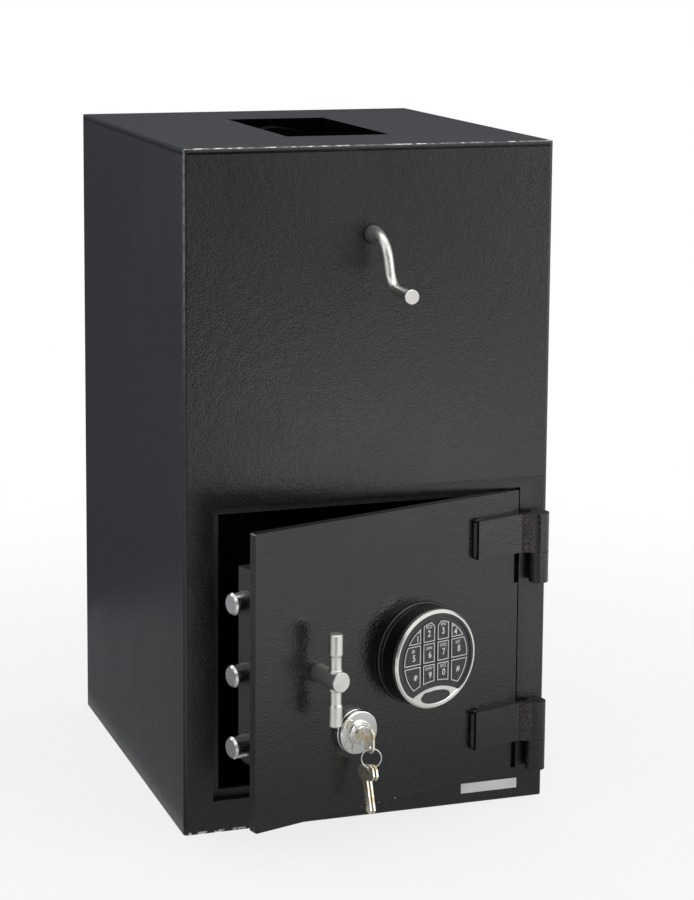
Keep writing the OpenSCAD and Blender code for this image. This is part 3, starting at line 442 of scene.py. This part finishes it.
def soften(node, material, width_mm, seams):
    """A copy of a frame node with rounded edges, apart from those that lie at the heights in seams."""
    mesh = frame["nodes"][node].data.copy()
    work = bmesh.new()
    work.from_mesh(mesh)
    bmesh.ops.remove_doubles(work, verts=work.verts, dist=SAME_POINT)
    weight = work.edges.layers.float.new("bevel_weight_edge")
    for edge in work.edges:
        hard = len(edge.link_faces) == 2 and edge.calc_face_angle() > math.radians(HARD_DEG)
        seam = any(all(abs(v.co.z - height) < SEAM_REACH for v in edge.verts) for height in seams)
        edge[weight] = 1.0 if hard and not seam else 0.0
    work.to_mesh(mesh)
    work.free()
    piece = add_piece(node + "_soft", mesh, material, BODY_OF[node])
    bevel = piece.modifiers.new("edge", "BEVEL")
    bevel.width, bevel.segments, bevel.limit_method = width_mm * MM, 2, "WEIGHT"
    bevel.miter_outer = "MITER_ARC"
    smooth(piece)
    piece.modifiers.new("normals", "WEIGHTED_NORMAL").keep_sharp = True
    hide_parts(node)


# %% Softened pieces
SEAM_LOW, SEAM_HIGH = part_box("door_frame")[1].z, TOP_LOW.z
BUTTONS = ["button_" + name for name in ("1", "2", "3", "4", "5", "6", "7", "8", "star", "9", "0", "hash")]
SOFT = {
    coat_body: [("body_shell", 1.2), ("door_frame", 1.2)],
    coat_top: [("top_plate", 0.6)],
    coat_door: [("door_plate", 0.8)],
    coat_hinge: [("upper_leaf", 1.2), ("lower_leaf", 1.2), ("body_knuckles", 1.0)],
    coat_inner: [("bolt_cover", 0.5), ("dead_bar", 0.6)],
    # The drum's shell gets the near-black coat that paints the shade inside.
    coat_drum_painted_shade: [("drum_shell", 0.5)],
    zinc: [("cover_screws", 0.4)],
    stainless_crank: [("crank", 0.3), ("crank_cap", 0.5)],
    stainless_hub: [("handle_shaft", 0.4)],
    stainless_bar: [("cross_bar", 0.4), ("key_ring", 0.05)],
    chrome_bolt: [("locking_bolts", 0.5)],
    chrome_rose: [("key_rose", 0.3), ("lock_cylinder", 0.3)],
    satin_nickel: [("key_plug", 0.3), ("pad_bezel", 0.25)],
    abs_gloss: [("pad_base", 0.5), ("pad_housing", 0.4)],
    key_nickel: [("door_key", 0.25), ("spare_key_front", 0.25), ("spare_key_back", 0.25)],
    abs_button: [(name, 0.2) for name in BUTTONS],
}
for material, rows in SOFT.items():
    for name, width in rows:
        soften(name, material, width, (SEAM_LOW, SEAM_HIGH))
top_soft = bpy.data.objects["top_plate_soft"]
top_soft.data.materials.append(coat_body)
top_soft.data.materials.append(coat_drum_painted_shade)
RIM = 4 * MM
# The sides of the mouth get the drum's near-black coat, which is painted shade.
for face in top_soft.data.polygons:
    at = face.center
    in_mouth = abs(at.x) < TOP_HIGH.x - RIM and TOP_LOW.y + RIM < at.y < TOP_HIGH.y - RIM
    if face.normal.z < 0.5:
        face.material_index = 2 if in_mouth else 1
print("softened", sum(len(rows) for rows in SOFT.values()), "pieces")

# %% [markdown]
# ## Places on the open door
# The door stands ajar, so what is added to it is drawn flat, as if seen from the front, and then carried to
# the door by one matrix: x runs from the free edge to the hinges, y runs up from the lower edge, and z comes
# out of the door. The hinge joint gives the axis, and its lower limit is the shut door, which gives the angle.

# %% Door matrix
swing = next(j for j in frame["joints"] if j["name"] == "door_swing")
AJAR = -math.radians(swing["range_deg"][0])
HINGE = Vector(swing["pos_m"])
DOOR_W = 323 * MM
shut = Matrix.Translation((-DOOR_W / 2, FRONT_Y, DOOR_LOW.z)) @ Matrix.Rotation(math.radians(90), 4, "X")
ON_DOOR = Matrix.Translation(HINGE) @ Matrix.Rotation(AJAR, 4, "Z") @ Matrix.Translation(-HINGE) @ shut
print("door stands", round(math.degrees(AJAR), 1), "degrees ajar")

# %% [markdown]
# ## Outlines on the keys
# A thin line is printed round the edge of every key. It comes from the key itself: the rim of its top face,
# and the same rim moved inwards by the width of the line, with a strip of faces between the two. Each corner
# moves along the line that halves its angle, so the strip stays equally wide everywhere.

# %% Key outlines
INK_MM = 0.05
LINE_MM = 0.95
LINE_INSET_MM = 0.15


def finished(name, work):
    """The mesh of a bmesh, which is then freed."""
    mesh = bpy.data.meshes.new(name)
    work.to_mesh(mesh)
    work.free()
    return mesh


def top_rim(name):
    """The corners of a key's top face, in door coordinates, and the height of that face."""
    work = bmesh.new()
    work.from_mesh(frame["nodes"][name].data)
    bmesh.ops.transform(work, matrix=ON_DOOR.inverted(), verts=work.verts)
    bmesh.ops.remove_doubles(work, verts=work.verts, dist=SAME_POINT)
    bmesh.ops.dissolve_limit(work, angle_limit=math.radians(0.6), verts=work.verts, edges=work.edges)
    top = max(work.faces, key=lambda f: f.calc_center_median().z)
    rim = [v.co.copy() for v in top.verts]
    work.free()
    return [p.to_2d() for p in rim], rim[0].z


def moved_in(rim, width):
    """The rim moved to its inner side. It must run anticlockwise."""
    made = []
    for before, here, after in zip(rim[-1:] + rim[:-1], rim, rim[1:] + rim[:1]):
        one, two = (here - before).normalized(), (after - here).normalized()
        side = Vector((-one.y - two.y, one.x + two.x)).normalized()
        made.append(here + side * width / max(0.3, side.dot(Vector((-one.y, one.x)))))
    return made


def strip_mesh(name, rim, width, low, thick):
    """A flat band between a rim and the same rim moved in."""
    inner = moved_in(rim, width)
    work = bmesh.new()
    rows = [[work.verts.new((p.x, p.y, low + thick)) for p in ring] for ring in (rim, inner)]
    for k in range(len(rim)):
        n = (k + 1) % len(rim)
        work.faces.new((rows[0][k], rows[0][n], rows[1][n], rows[1][k]))
    mesh = finished(name, work)
    mesh.transform(ON_DOOR)
    return mesh


key_top = {}
for name in BUTTONS:
    rim, key_top[name] = top_rim(name)
    edge = moved_in(rim, LINE_INSET_MM * MM)
    mesh = strip_mesh(name + "_line", edge, LINE_MM * MM, key_top[name], INK_MM * MM)
    add_piece(name + "_line", mesh, print_ink, name)
print("outlined", len(BUTTONS), "keys, top at", round(key_top["button_5"] / MM, 2), "mm")

# %% [markdown]
# ## Figures on the keys
# Each key has its figure and, above it, small index letters in alphabetical order, as keypads for words have.
# They are set in Blender's own plain typeface, turned to meshes, and laid a hair above the plastic. The
# places are in millimetres from the middle of the keypad.

# %% Key figures
PAD = Vector((196.0, 146.5))
CAPITAL_SHARE, NARROWED = 0.7, 0.86
FIGURE_MM, FIGURE_HEAVY = 6.4, 0.035
SIGN_MM = {"*": 9.0, "#": 5.6}
LETTER_MM, LETTER_HEAVY = 3.1, 0.03
FIGURES = {
    "button_1": ("1", (-23.0, 24.2), "A", (-21.6, 31.0)), "button_2": ("2", (-8.8, 27.4), "BCD", (-9.0, 34.4)),
    "button_3": ("3", (8.8, 27.6), "EFG", (8.8, 34.6)), "button_4": ("4", (24.4, 24.2), "H", (21.6, 31.0)),
    "button_5": ("5", (-27.4, 5.2), "IJK", (-28.2, 12.6)), "button_6": ("6", (-7.6, 5.6), "LMN", (-8.8, 12.8)),
    "button_7": ("7", (9.6, 6.2), "OPQ", (8.8, 13.4)), "button_8": ("8", (28.8, 6.2), "RST", (27.6, 13.0)),
    "button_star": ("*", (-25.0, -17.4), "", (0, 0)), "button_9": ("9", (-7.0, -15.2), "UVW", (-8.8, -8.0)),
    "button_0": ("0", (9.8, -14.8), "XYZ", (8.8, -8.0)), "button_hash": ("#", (28.0, -14.2), "", (0, 0)),
}


def print_text(name, text, high_mm, heavy, at, body):
    """Printed text, centred on a point of the keypad, as a piece that rides on its key."""
    curve = bpy.data.curves.new(name, "FONT")
    curve.body, curve.size = text, high_mm / CAPITAL_SHARE * MM
    curve.align_x, curve.align_y = "CENTER", "CENTER"
    curve.offset = heavy * high_mm * MM
    holder = bpy.data.objects.new(name, curve)
    bpy.context.scene.collection.objects.link(holder)
    bpy.context.view_layer.update()
    mesh = bpy.data.meshes.new_from_object(holder.evaluated_get(bpy.context.evaluated_depsgraph_get()))
    bpy.data.objects.remove(holder)
    spot = Vector((PAD.x + at[0], PAD.y + at[1])) * MM
    mesh.transform(ON_DOOR @ Matrix.Translation((spot.x, spot.y, key_top[body] + INK_MM * MM))
                   @ Matrix.Diagonal((NARROWED, 1.0, 1.0, 1.0)))
    add_piece(name, mesh, print_ink, body)


for name, (figure, at, letters, letters_at) in FIGURES.items():
    print_text(name + "_figure", figure, SIGN_MM.get(figure, FIGURE_MM), FIGURE_HEAVY, at, name)
    if letters:
        print_text(name + "_letters", letters, LETTER_MM, LETTER_HEAVY, letters_at, name)
print("printed", len(FIGURES), "keys")

# %% [markdown]
# ## Bare name plates
# The crescent under the keys holds an oval plate, and a silver foil label sits under the door on the front
# plate. Both are bare here. Each is a thin plate with a rounded outline, whose rim is turned up a little, as
# a stamped plate's is.


# %% Plate mesh
def plate_mesh(name, width_mm, height_mm, radii_mm, thick_mm, rim_mm, steps=12):
    """A thin plate with round corners and a raised rim, its back on z = 0. Each corner is a quarter of an
    ellipse with the two radii given, so that a plate can be a whole ellipse too."""
    outline = []
    rx, ry = radii_mm
    for cx, cy, first in ((1, 1, 0), (-1, 1, 90), (-1, -1, 180), (1, -1, 270)):
        for k in range(steps):
            angle = math.radians(first + 90 * k / (steps - 1 if 2 * rx < width_mm else steps))
            outline.append(Vector((cx * (width_mm / 2 - rx) + rx * math.cos(angle),
                                   cy * (height_mm / 2 - ry) + ry * math.sin(angle))) * MM)
    inner = moved_in(outline, rim_mm * MM)
    floor_line = moved_in(outline, 1.5 * rim_mm * MM)
    work = bmesh.new()
    levels = [(outline, 0.0), (outline, thick_mm), (inner, thick_mm), (floor_line, 0.6 * thick_mm)]
    rows = [[work.verts.new((p.x, p.y, z * MM)) for p in ring] for ring, z in levels]
    for one, two in zip(rows, rows[1:]):
        for k in range(len(one)):
            n = (k + 1) % len(one)
            work.faces.new((one[k], one[n], two[n], two[k]))
    work.faces.new(rows[-1])
    work.faces.new(rows[0][::-1])
    return finished(name, work)


# %% Name plates
OVAL_W, OVAL_H = 36.0, 12.8
OVAL_DOWN, OVAL_BACK = 38.1, 27.95
oval_mesh = plate_mesh("oval_plate", OVAL_W, OVAL_H, (OVAL_W / 2, OVAL_H / 2), 0.5, 0.5)
oval_mesh.transform(ON_DOOR @ Matrix.Translation(Vector((PAD.x, PAD.y - OVAL_DOWN, OVAL_BACK)) * MM))
add_piece("oval_plate", oval_mesh, name_plate, "door")

LABEL_AT = Vector((133.5, 0.0, 15.8)) * MM
LABEL_W, LABEL_H, LABEL_ROUND = 62.0, 10.5, 0.9
label_mesh = plate_mesh("front_label", LABEL_W, LABEL_H, (LABEL_ROUND, LABEL_ROUND), 0.25, 0.3)
label_mesh.transform(Matrix.Translation((LABEL_AT.x, FRONT_Y, LABEL_AT.z))
                     @ Matrix.Rotation(math.radians(90), 4, "X"))
add_piece("front_label", label_mesh, label_foil, "safe")
print("bare plates laid")

# %% [markdown]
# ## Weld beads
# The ends of the hinge leaves look welded to the door, with the coat over the welds. A bead is a row of
# overlapping puddles: a tube along a line whose radius swells and shrinks every few millimetres, with noise.


# %% Bead mesh
RUN_STEPS = 60


def ahead_of(path, i):
    """The direction of a path at its point number i."""
    return (path[min(i + 1, len(path) - 1)] - path[max(i - 1, 0)]).normalized()


def skinned(name, work, rings):
    """The mesh of a closed tube through rings of corners."""
    sides = len(rings[0])
    for one, two in zip(rings, rings[1:]):
        for k in range(sides):
            work.faces.new((one[k], one[(k + 1) % sides], two[(k + 1) % sides], two[k]))
    work.faces.new(rings[0][::-1])
    work.faces.new(rings[-1])
    bmesh.ops.recalc_face_normals(work, faces=work.faces)
    return finished(name, work)


def bead_mesh(name, points, radius_mm, seed, sides=10):
    """A weld bead along straight runs between points."""
    draw = random.Random(seed)
    path = [a.lerp(b, i / RUN_STEPS) for a, b in zip(points, points[1:]) for i in range(RUN_STEPS)]
    path.append(points[-1])
    work = bmesh.new()
    rings = []
    for i, p in enumerate(path):
        ahead = ahead_of(path, i)
        side = ahead.orthogonal().normalized()
        up = ahead.cross(side)
        swell = 1 + 0.04 * math.cos(i * 1.5) + 0.2 * noise.noise(p * 200 + Vector((seed, 0, 0)))
        taper = min(1.0, (min(i, len(path) - 1 - i) + 1.2) / 3.5)
        r = radius_mm * MM * swell * taper * draw.uniform(0.98, 1.02)
        rings.append([work.verts.new(p + r * (math.cos(t) * side + math.sin(t) * up))
                      for t in (2 * math.pi * k / sides for k in range(sides))])
    return skinned(name, work, rings)


# %% Leaf welds
LEAF_X = 265.3
BEAD_Z, BEAD_R = 1.6, 2.9
RUN_IN, CUT_X, CUT_Y, END_GAP = 7, 0.8, 3, 1
for node, seed in (("upper_leaf", 3), ("lower_leaf", 8)):
    low, high = ((corner.z - DOOR_LOW.z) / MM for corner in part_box(node))
    stations = [(LEAF_X + RUN_IN, high - END_GAP), (LEAF_X + CUT_X, high - END_GAP), (LEAF_X, high - CUT_Y),
                (LEAF_X, low + END_GAP)]
    corners = [ON_DOOR @ (Vector((x, y, BEAD_Z)) * MM) for x, y in stations]
    weld = add_piece(node + "_weld", bead_mesh(node + "_weld", corners, BEAD_R, seed), coat_hinge, "door")
    smooth(weld, 60)
print("welds laid")

# %% [markdown]
# ## The root of the crank
# The rod of the crank leaves the hole nearly as thick as the shaft and thins towards the bend. A joint that was
# filled with weld and dressed smooth would look so, which is a guess. It is a tube along the middle line of
# the rod, straight and then round the bend, whose radius falls in steps.


# %% Crank root
def tube_mesh(name, path, radii, sides=40):
    """A closed tube along points in a plane of constant x, with a radius for each."""
    work = bmesh.new()
    rings = []
    for i, p in enumerate(path):
        ahead = ahead_of(path, i)
        up = Vector((1, 0, 0)).cross(ahead)
        turns = (2 * math.pi * k / sides for k in range(sides))
        rings.append([work.verts.new(p + radii[i] * (math.cos(t) * Vector((1, 0, 0)) + math.sin(t) * up))
                      for t in turns])
    return skinned(name, work, rings)


SHAFT_LOW, SHAFT_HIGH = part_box("front_shaft")
LEAN = math.radians(-8)
BEND_START, BEND_R = 18.0, 20.0
ROOT_R, ROD_R = 8.7, 5.5
ROOT_STEPS = 33
EASE_FROM, EASE_OVER = 3, 26
path, radii = [], []
for k in range(ROOT_STEPS):
    along = 1.0 + k
    past = max(0.0, along - BEND_START) / BEND_R
    path.append(Vector((0, -min(along, BEND_START) - BEND_R * math.sin(past), BEND_R * (math.cos(past) - 1))) * MM)
    ease = min(1.0, max(0.0, (along - EASE_FROM) / EASE_OVER))
    radii.append((ROOT_R + (ROD_R - ROOT_R) * ease * ease * (3 - 2 * ease)) * MM)
root_mesh = tube_mesh("crank_root", path, radii)
root_mesh.transform(Matrix.Translation((0, FRONT_Y, (SHAFT_LOW.z + SHAFT_HIGH.z) / 2))
                    @ Matrix.Rotation(LEAN, 4, "Y"))
root = add_piece("crank_root", root_mesh, stainless_crank, BODY_OF["crank"])
smooth(root, 50)
print("crank root is", round(2 * ROOT_R, 1), "mm thick at the hole")

# %% [markdown]
# ## Lip of the crank's bushing
# A thin dark ring shows where the shaft comes out of the plate. It is taken for the lip of a black plastic
# bushing, which is a guess. It is a short turned profile, swept once round the shaft.

# %% Bushing lip
LIP = [(9.0, -0.4), (9.0, 0.8), (10.0, 0.8), (10.6, -0.4)]
SIDES = 64
work = bmesh.new()
rings = []
for k in range(SIDES):
    turn = 2 * math.pi * k / SIDES
    rings.append([work.verts.new(Vector((r * math.cos(turn), -out, r * math.sin(turn))) * MM) for r, out in LIP])
for one, two in zip(rings, rings[1:] + rings[:1]):
    for k in range(len(LIP)):
        n = (k + 1) % len(LIP)
        work.faces.new((one[k], one[n], two[n], two[k]))
bmesh.ops.recalc_face_normals(work, faces=work.faces)
lip_mesh = finished("crank_lip", work)
lip_mesh.transform(Matrix.Translation((0, FRONT_Y, (SHAFT_LOW.z + SHAFT_HIGH.z) / 2)))
lip = add_piece("crank_lip", lip_mesh, abs_gloss, BODY_OF["body_shell"])
smooth(lip, 40)
print("bushing lip", [2 * r for r, out in LIP], "mm across")

# %% [markdown]
# ## The rim of the keypad's face
# The face laps over the inner part of the metal bezel, so that only a narrow bright ring shows. The lap is a
# thin band of the face's plastic that runs from one horn of the crescent over the top to the other, and
# tapers to a point there.

# %% Face rim
LAP_IN, LAP_OUT = 44.3, 46.7
LAP_LOW, LAP_HIGH = 28.2, 28.62
HORN_DEG, TAPER_DEG = -52.0, 14.0
LAP_STEPS = 120
work = bmesh.new()
rows = []
for k in range(LAP_STEPS + 1):
    degrees = HORN_DEG + (180 - 2 * HORN_DEG) * k / LAP_STEPS
    end = min(degrees - HORN_DEG, 180 - HORN_DEG - degrees) / TAPER_DEG
    outer = LAP_IN + 0.05 + (LAP_OUT - LAP_IN) * math.sqrt(min(1.0, end))
    ray = Vector((math.cos(math.radians(degrees)), math.sin(math.radians(degrees)), 0))
    middle = Vector((PAD.x, PAD.y, 0))
    rows.append([work.verts.new((middle + ray * r + Vector((0, 0, z))) * MM)
                 for r, z in ((LAP_IN, LAP_LOW), (LAP_IN, LAP_HIGH), (outer, LAP_HIGH), (outer, LAP_LOW))])
for one, two in zip(rows, rows[1:]):
    for k in range(4):
        work.faces.new((one[k], two[k], two[(k + 1) % 4], one[(k + 1) % 4]))
work.faces.new(rows[0])
work.faces.new(rows[-1][::-1])
bmesh.ops.recalc_face_normals(work, faces=work.faces)
rim_mesh = finished("pad_face_rim", work)
rim_mesh.transform(ON_DOOR)
add_piece("pad_face_rim", rim_mesh, abs_face, BODY_OF["pad_face"])
print("face rim laid")

# %% [markdown]
# ## Floor
# The picture has a plain white ground. A large floor of white paper takes the object's shadow, and turns into
# pure white away from it, so that no horizon shows. What the camera, a reflection or a clear piece sees of it
# is mixed by distance, and all other light meets plain paper.

# %% Floor
FLOOR_REACH = 9.0
FLOOR_DROP = 0.0002
FADE_FROM, FADE_TO = 0.35, 1.3
NEAR_SHARE = 0.8


def in_view(tree):
    """1 for what the camera, a reflection or a clear piece sees, and 0 for light that falls on things."""
    seen = add(tree, "ShaderNodeLightPath")
    shown = add(tree, "ShaderNodeMath", {0: seen.outputs["Is Camera Ray"], 1: seen.outputs["Is Glossy Ray"]},
                operation="MAXIMUM")
    return add(tree, "ShaderNodeMath", {0: shown, 1: seen.outputs["Is Transmission Ray"]}, operation="MAXIMUM")


floor_mesh = bpy.data.meshes.new("floor")
floor_mesh.from_pydata([(-FLOOR_REACH, -FLOOR_REACH, 0), (FLOOR_REACH, -FLOOR_REACH, 0),
                        (FLOOR_REACH, FLOOR_REACH, 0), (-FLOOR_REACH, FLOOR_REACH, 0)], [], [(0, 1, 2, 3)])
floor = bpy.data.objects.new("floor", floor_mesh)
floor.location.z = -FLOOR_DROP
bpy.context.scene.collection.objects.link(floor)

floor_paper, tree, point = start("floor_paper")
paper = add(tree, "ShaderNodeBsdfDiffuse", {"Color": linear("#f2f2f2")})
glow = add(tree, "ShaderNodeEmission", {"Color": (1.0, 1.0, 1.0, 1.0), "Strength": 1.0})
away = add(tree, "ShaderNodeVectorMath", {0: point}, operation="LENGTH")
fade = add(tree, "ShaderNodeMapRange", {"Value": away.outputs["Value"], "From Min": FADE_FROM,
                                        "From Max": FADE_TO, "To Min": NEAR_SHARE, "To Max": 1.0},
           interpolation_type="SMOOTHSTEP")
share = add(tree, "ShaderNodeMath", {0: in_view(tree), 1: fade}, operation="MULTIPLY")
mixed = add(tree, "ShaderNodeMixShader", {0: share, 1: paper, 2: glow})
add(tree, "ShaderNodeOutputMaterial", {"Surface": mixed})
floor_mesh.materials.append(floor_paper)
print("floor laid")

# %% [markdown]
# ## The room
# Gloss black shows nothing of its own: what the eye reads on it is the room. The room is white all round,
# and the camera and the reflections see it at a strength of one. For the light that falls on the object it
# is a plain soft grey.

# %% World
world = bpy.data.worlds.new("studio")
bpy.context.scene.world = world
world.use_nodes = True
tree = world.node_tree
tree.nodes.clear()
room = add(tree, "ShaderNodeBackground", {"Color": linear("#c8cad0"), "Strength": 0.5})
white = add(tree, "ShaderNodeBackground", {"Color": (1.0, 1.0, 1.0, 1.0), "Strength": 1.0})
mixed = add(tree, "ShaderNodeMixShader", {0: in_view(tree), 1: room, 2: white})
add(tree, "ShaderNodeOutputWorld", {"Surface": mixed})
print("room made")

# %% [markdown]
# ## Dark flags
# Photographers stand dark cloths, called flags, where a glossy thing would mirror too much white. One lies on
# the floor behind the object and rises there, with a second above it, so that the left side and the top have
# something darker than the white room to mirror. A wide one stands behind the camera, with a darker one at
# its right, one stands at the left, and the darkest lies and stands at the front left, for the left edge of
# the front. Paler ones lie on the floor at the left and under the object, where the last thins out. They take
# part in reflections alone, throw no shadow and are never in the picture. Their tones were set by comparing the
# render with the photograph, so they are a fit and not a record of the studio.


# %% Flags
def hang_flag(name, points, colour, clear_from=None, clear_at=None):
    """A cloth whose corners come in pairs. It may thin out with the distance from the middle, in metres."""
    faces = [(k, k + 1, k + 3, k + 2) for k in range(0, len(points) - 2, 2)]
    mesh = bpy.data.meshes.new(name)
    mesh.from_pydata(points, [], faces)
    flag = bpy.data.objects.new(name, mesh)
    bpy.context.scene.collection.objects.link(flag)
    for ray in ("camera", "diffuse", "transmission", "volume_scatter", "shadow"):
        setattr(flag, "visible_" + ray, False)
    cloth, tree, point = start(name + "_cloth")
    shine = add(tree, "ShaderNodeEmission", {"Color": linear(colour), "Strength": 1.0})
    if clear_at:
        away = add(tree, "ShaderNodeVectorMath", {0: point}, operation="LENGTH").outputs["Value"]
        gone = add(tree, "ShaderNodeMapRange", {"Value": away, "From Min": clear_from, "From Max": clear_at},
                   interpolation_type="SMOOTHSTEP")
        clear = add(tree, "ShaderNodeBsdfTransparent")
        shine = add(tree, "ShaderNodeMixShader", {0: gone, 1: shine, 2: clear})
    add(tree, "ShaderNodeOutputMaterial", {"Surface": shine})
    mesh.materials.append(cloth)


hang_flag("back_flag", [(x, y, z) for y, z in ((0.6, 0.002), (1.5, 0.002), (1.5, 0.7)) for x in (-1.3, 3.5)],
          "#585b63")
hang_flag("high_flag", [(x, 1.5, z) for z in (0.7, 2.6) for x in (-1.3, 3.5)], "#70737b")
hang_flag("side_cloth", [(x, y, 0.002) for y in (-0.25, 0.6) for x in (-0.7, -0.2)], "#7e8084")
hang_flag("left_cloth", [(x, y, 0.002) for y in (-0.6, 1.6) for x in (-2.4, -0.72)], "#a2a3a8")
hang_flag("front_flag", [(x, y, z) for y, z in ((-3.5, 0.0), (-3.7, 2.8)) for x in (-5.0, 5.0)], "#8c8c8c")
hang_flag("right_flag", [(x, -3.0, z) for z in (0.0, 2.2) for x in (1.25, 2.5)], "#4a4a4a")
hang_flag("edge_flag", [(-0.6, -0.9, 0.003), (-0.05, -0.9, 0.003), (-0.6, -3.0, 0.003), (0.4, -3.0, 0.003),
                        (-0.6, -3.0, 2.2), (0.4, -3.0, 2.2)], "#38383a")
hang_flag("left_flag", [(-2.9, y, z) for z in (0.0, 2.2) for y in (-1.7, 0.2)], "#4a4a4c")
hang_flag("foot_cloth", [(x, y, 0.001) for y in (-1.0, 1.0) for x in (-1.0, 1.0)], "#b2b2b3", 0.36, 0.9)
print("flags hung")

# %% [markdown]
# ## Lamps
# The lamps stand as in a studio: a wide soft panel in front on the right, a weaker one on the left and one
# over the top. Two smaller ones stand low at the front, for a broad sheen on the front and the door, and one
# stands at the back left. Like the flags they are a fit to the photograph.


# %% Lamps
def panel(name, at, aim, size, watts, colour="#ffffff"):
    """A soft rectangular lamp that points at aim."""
    data = bpy.data.lights.new(name, "AREA")
    data.shape = "RECTANGLE"
    data.size, data.size_y = size
    data.energy = watts
    data.color = linear(colour)[:3]
    lamp = bpy.data.objects.new(name, data)
    turn = (Vector(aim) - Vector(at)).to_track_quat("-Z", "Y").to_matrix().to_4x4()
    lamp.matrix_world = Matrix.Translation(at) @ turn
    lamp.visible_camera = False
    bpy.context.scene.collection.objects.link(lamp)


AIM = (0.0, 0.0, 0.32)
panel("key_panel", (1.7, -2.6, 1.7), AIM, (2.4, 2.0), 36)
panel("low_panel", (1.75, -1.7, 0.3), AIM, (1.3, 0.6), 5)
panel("sheen_panel", (0.38, -1.35, 0.1), (0.0, -0.2, 0.3), (0.5, 0.15), 0.45)
panel("rim_panel", (-1.6, 1.0, 1.25), AIM, (0.5, 0.9), 6, "#f4f6ff")
panel("fill_panel", (-2.4, -1.0, 1.1), AIM, (1.2, 1.8), 10, "#eef2ff")
panel("top_panel", (0.2, 0.2, 2.6), AIM, (1.8, 1.8), 20)
print("lamps:", len(bpy.data.lights))
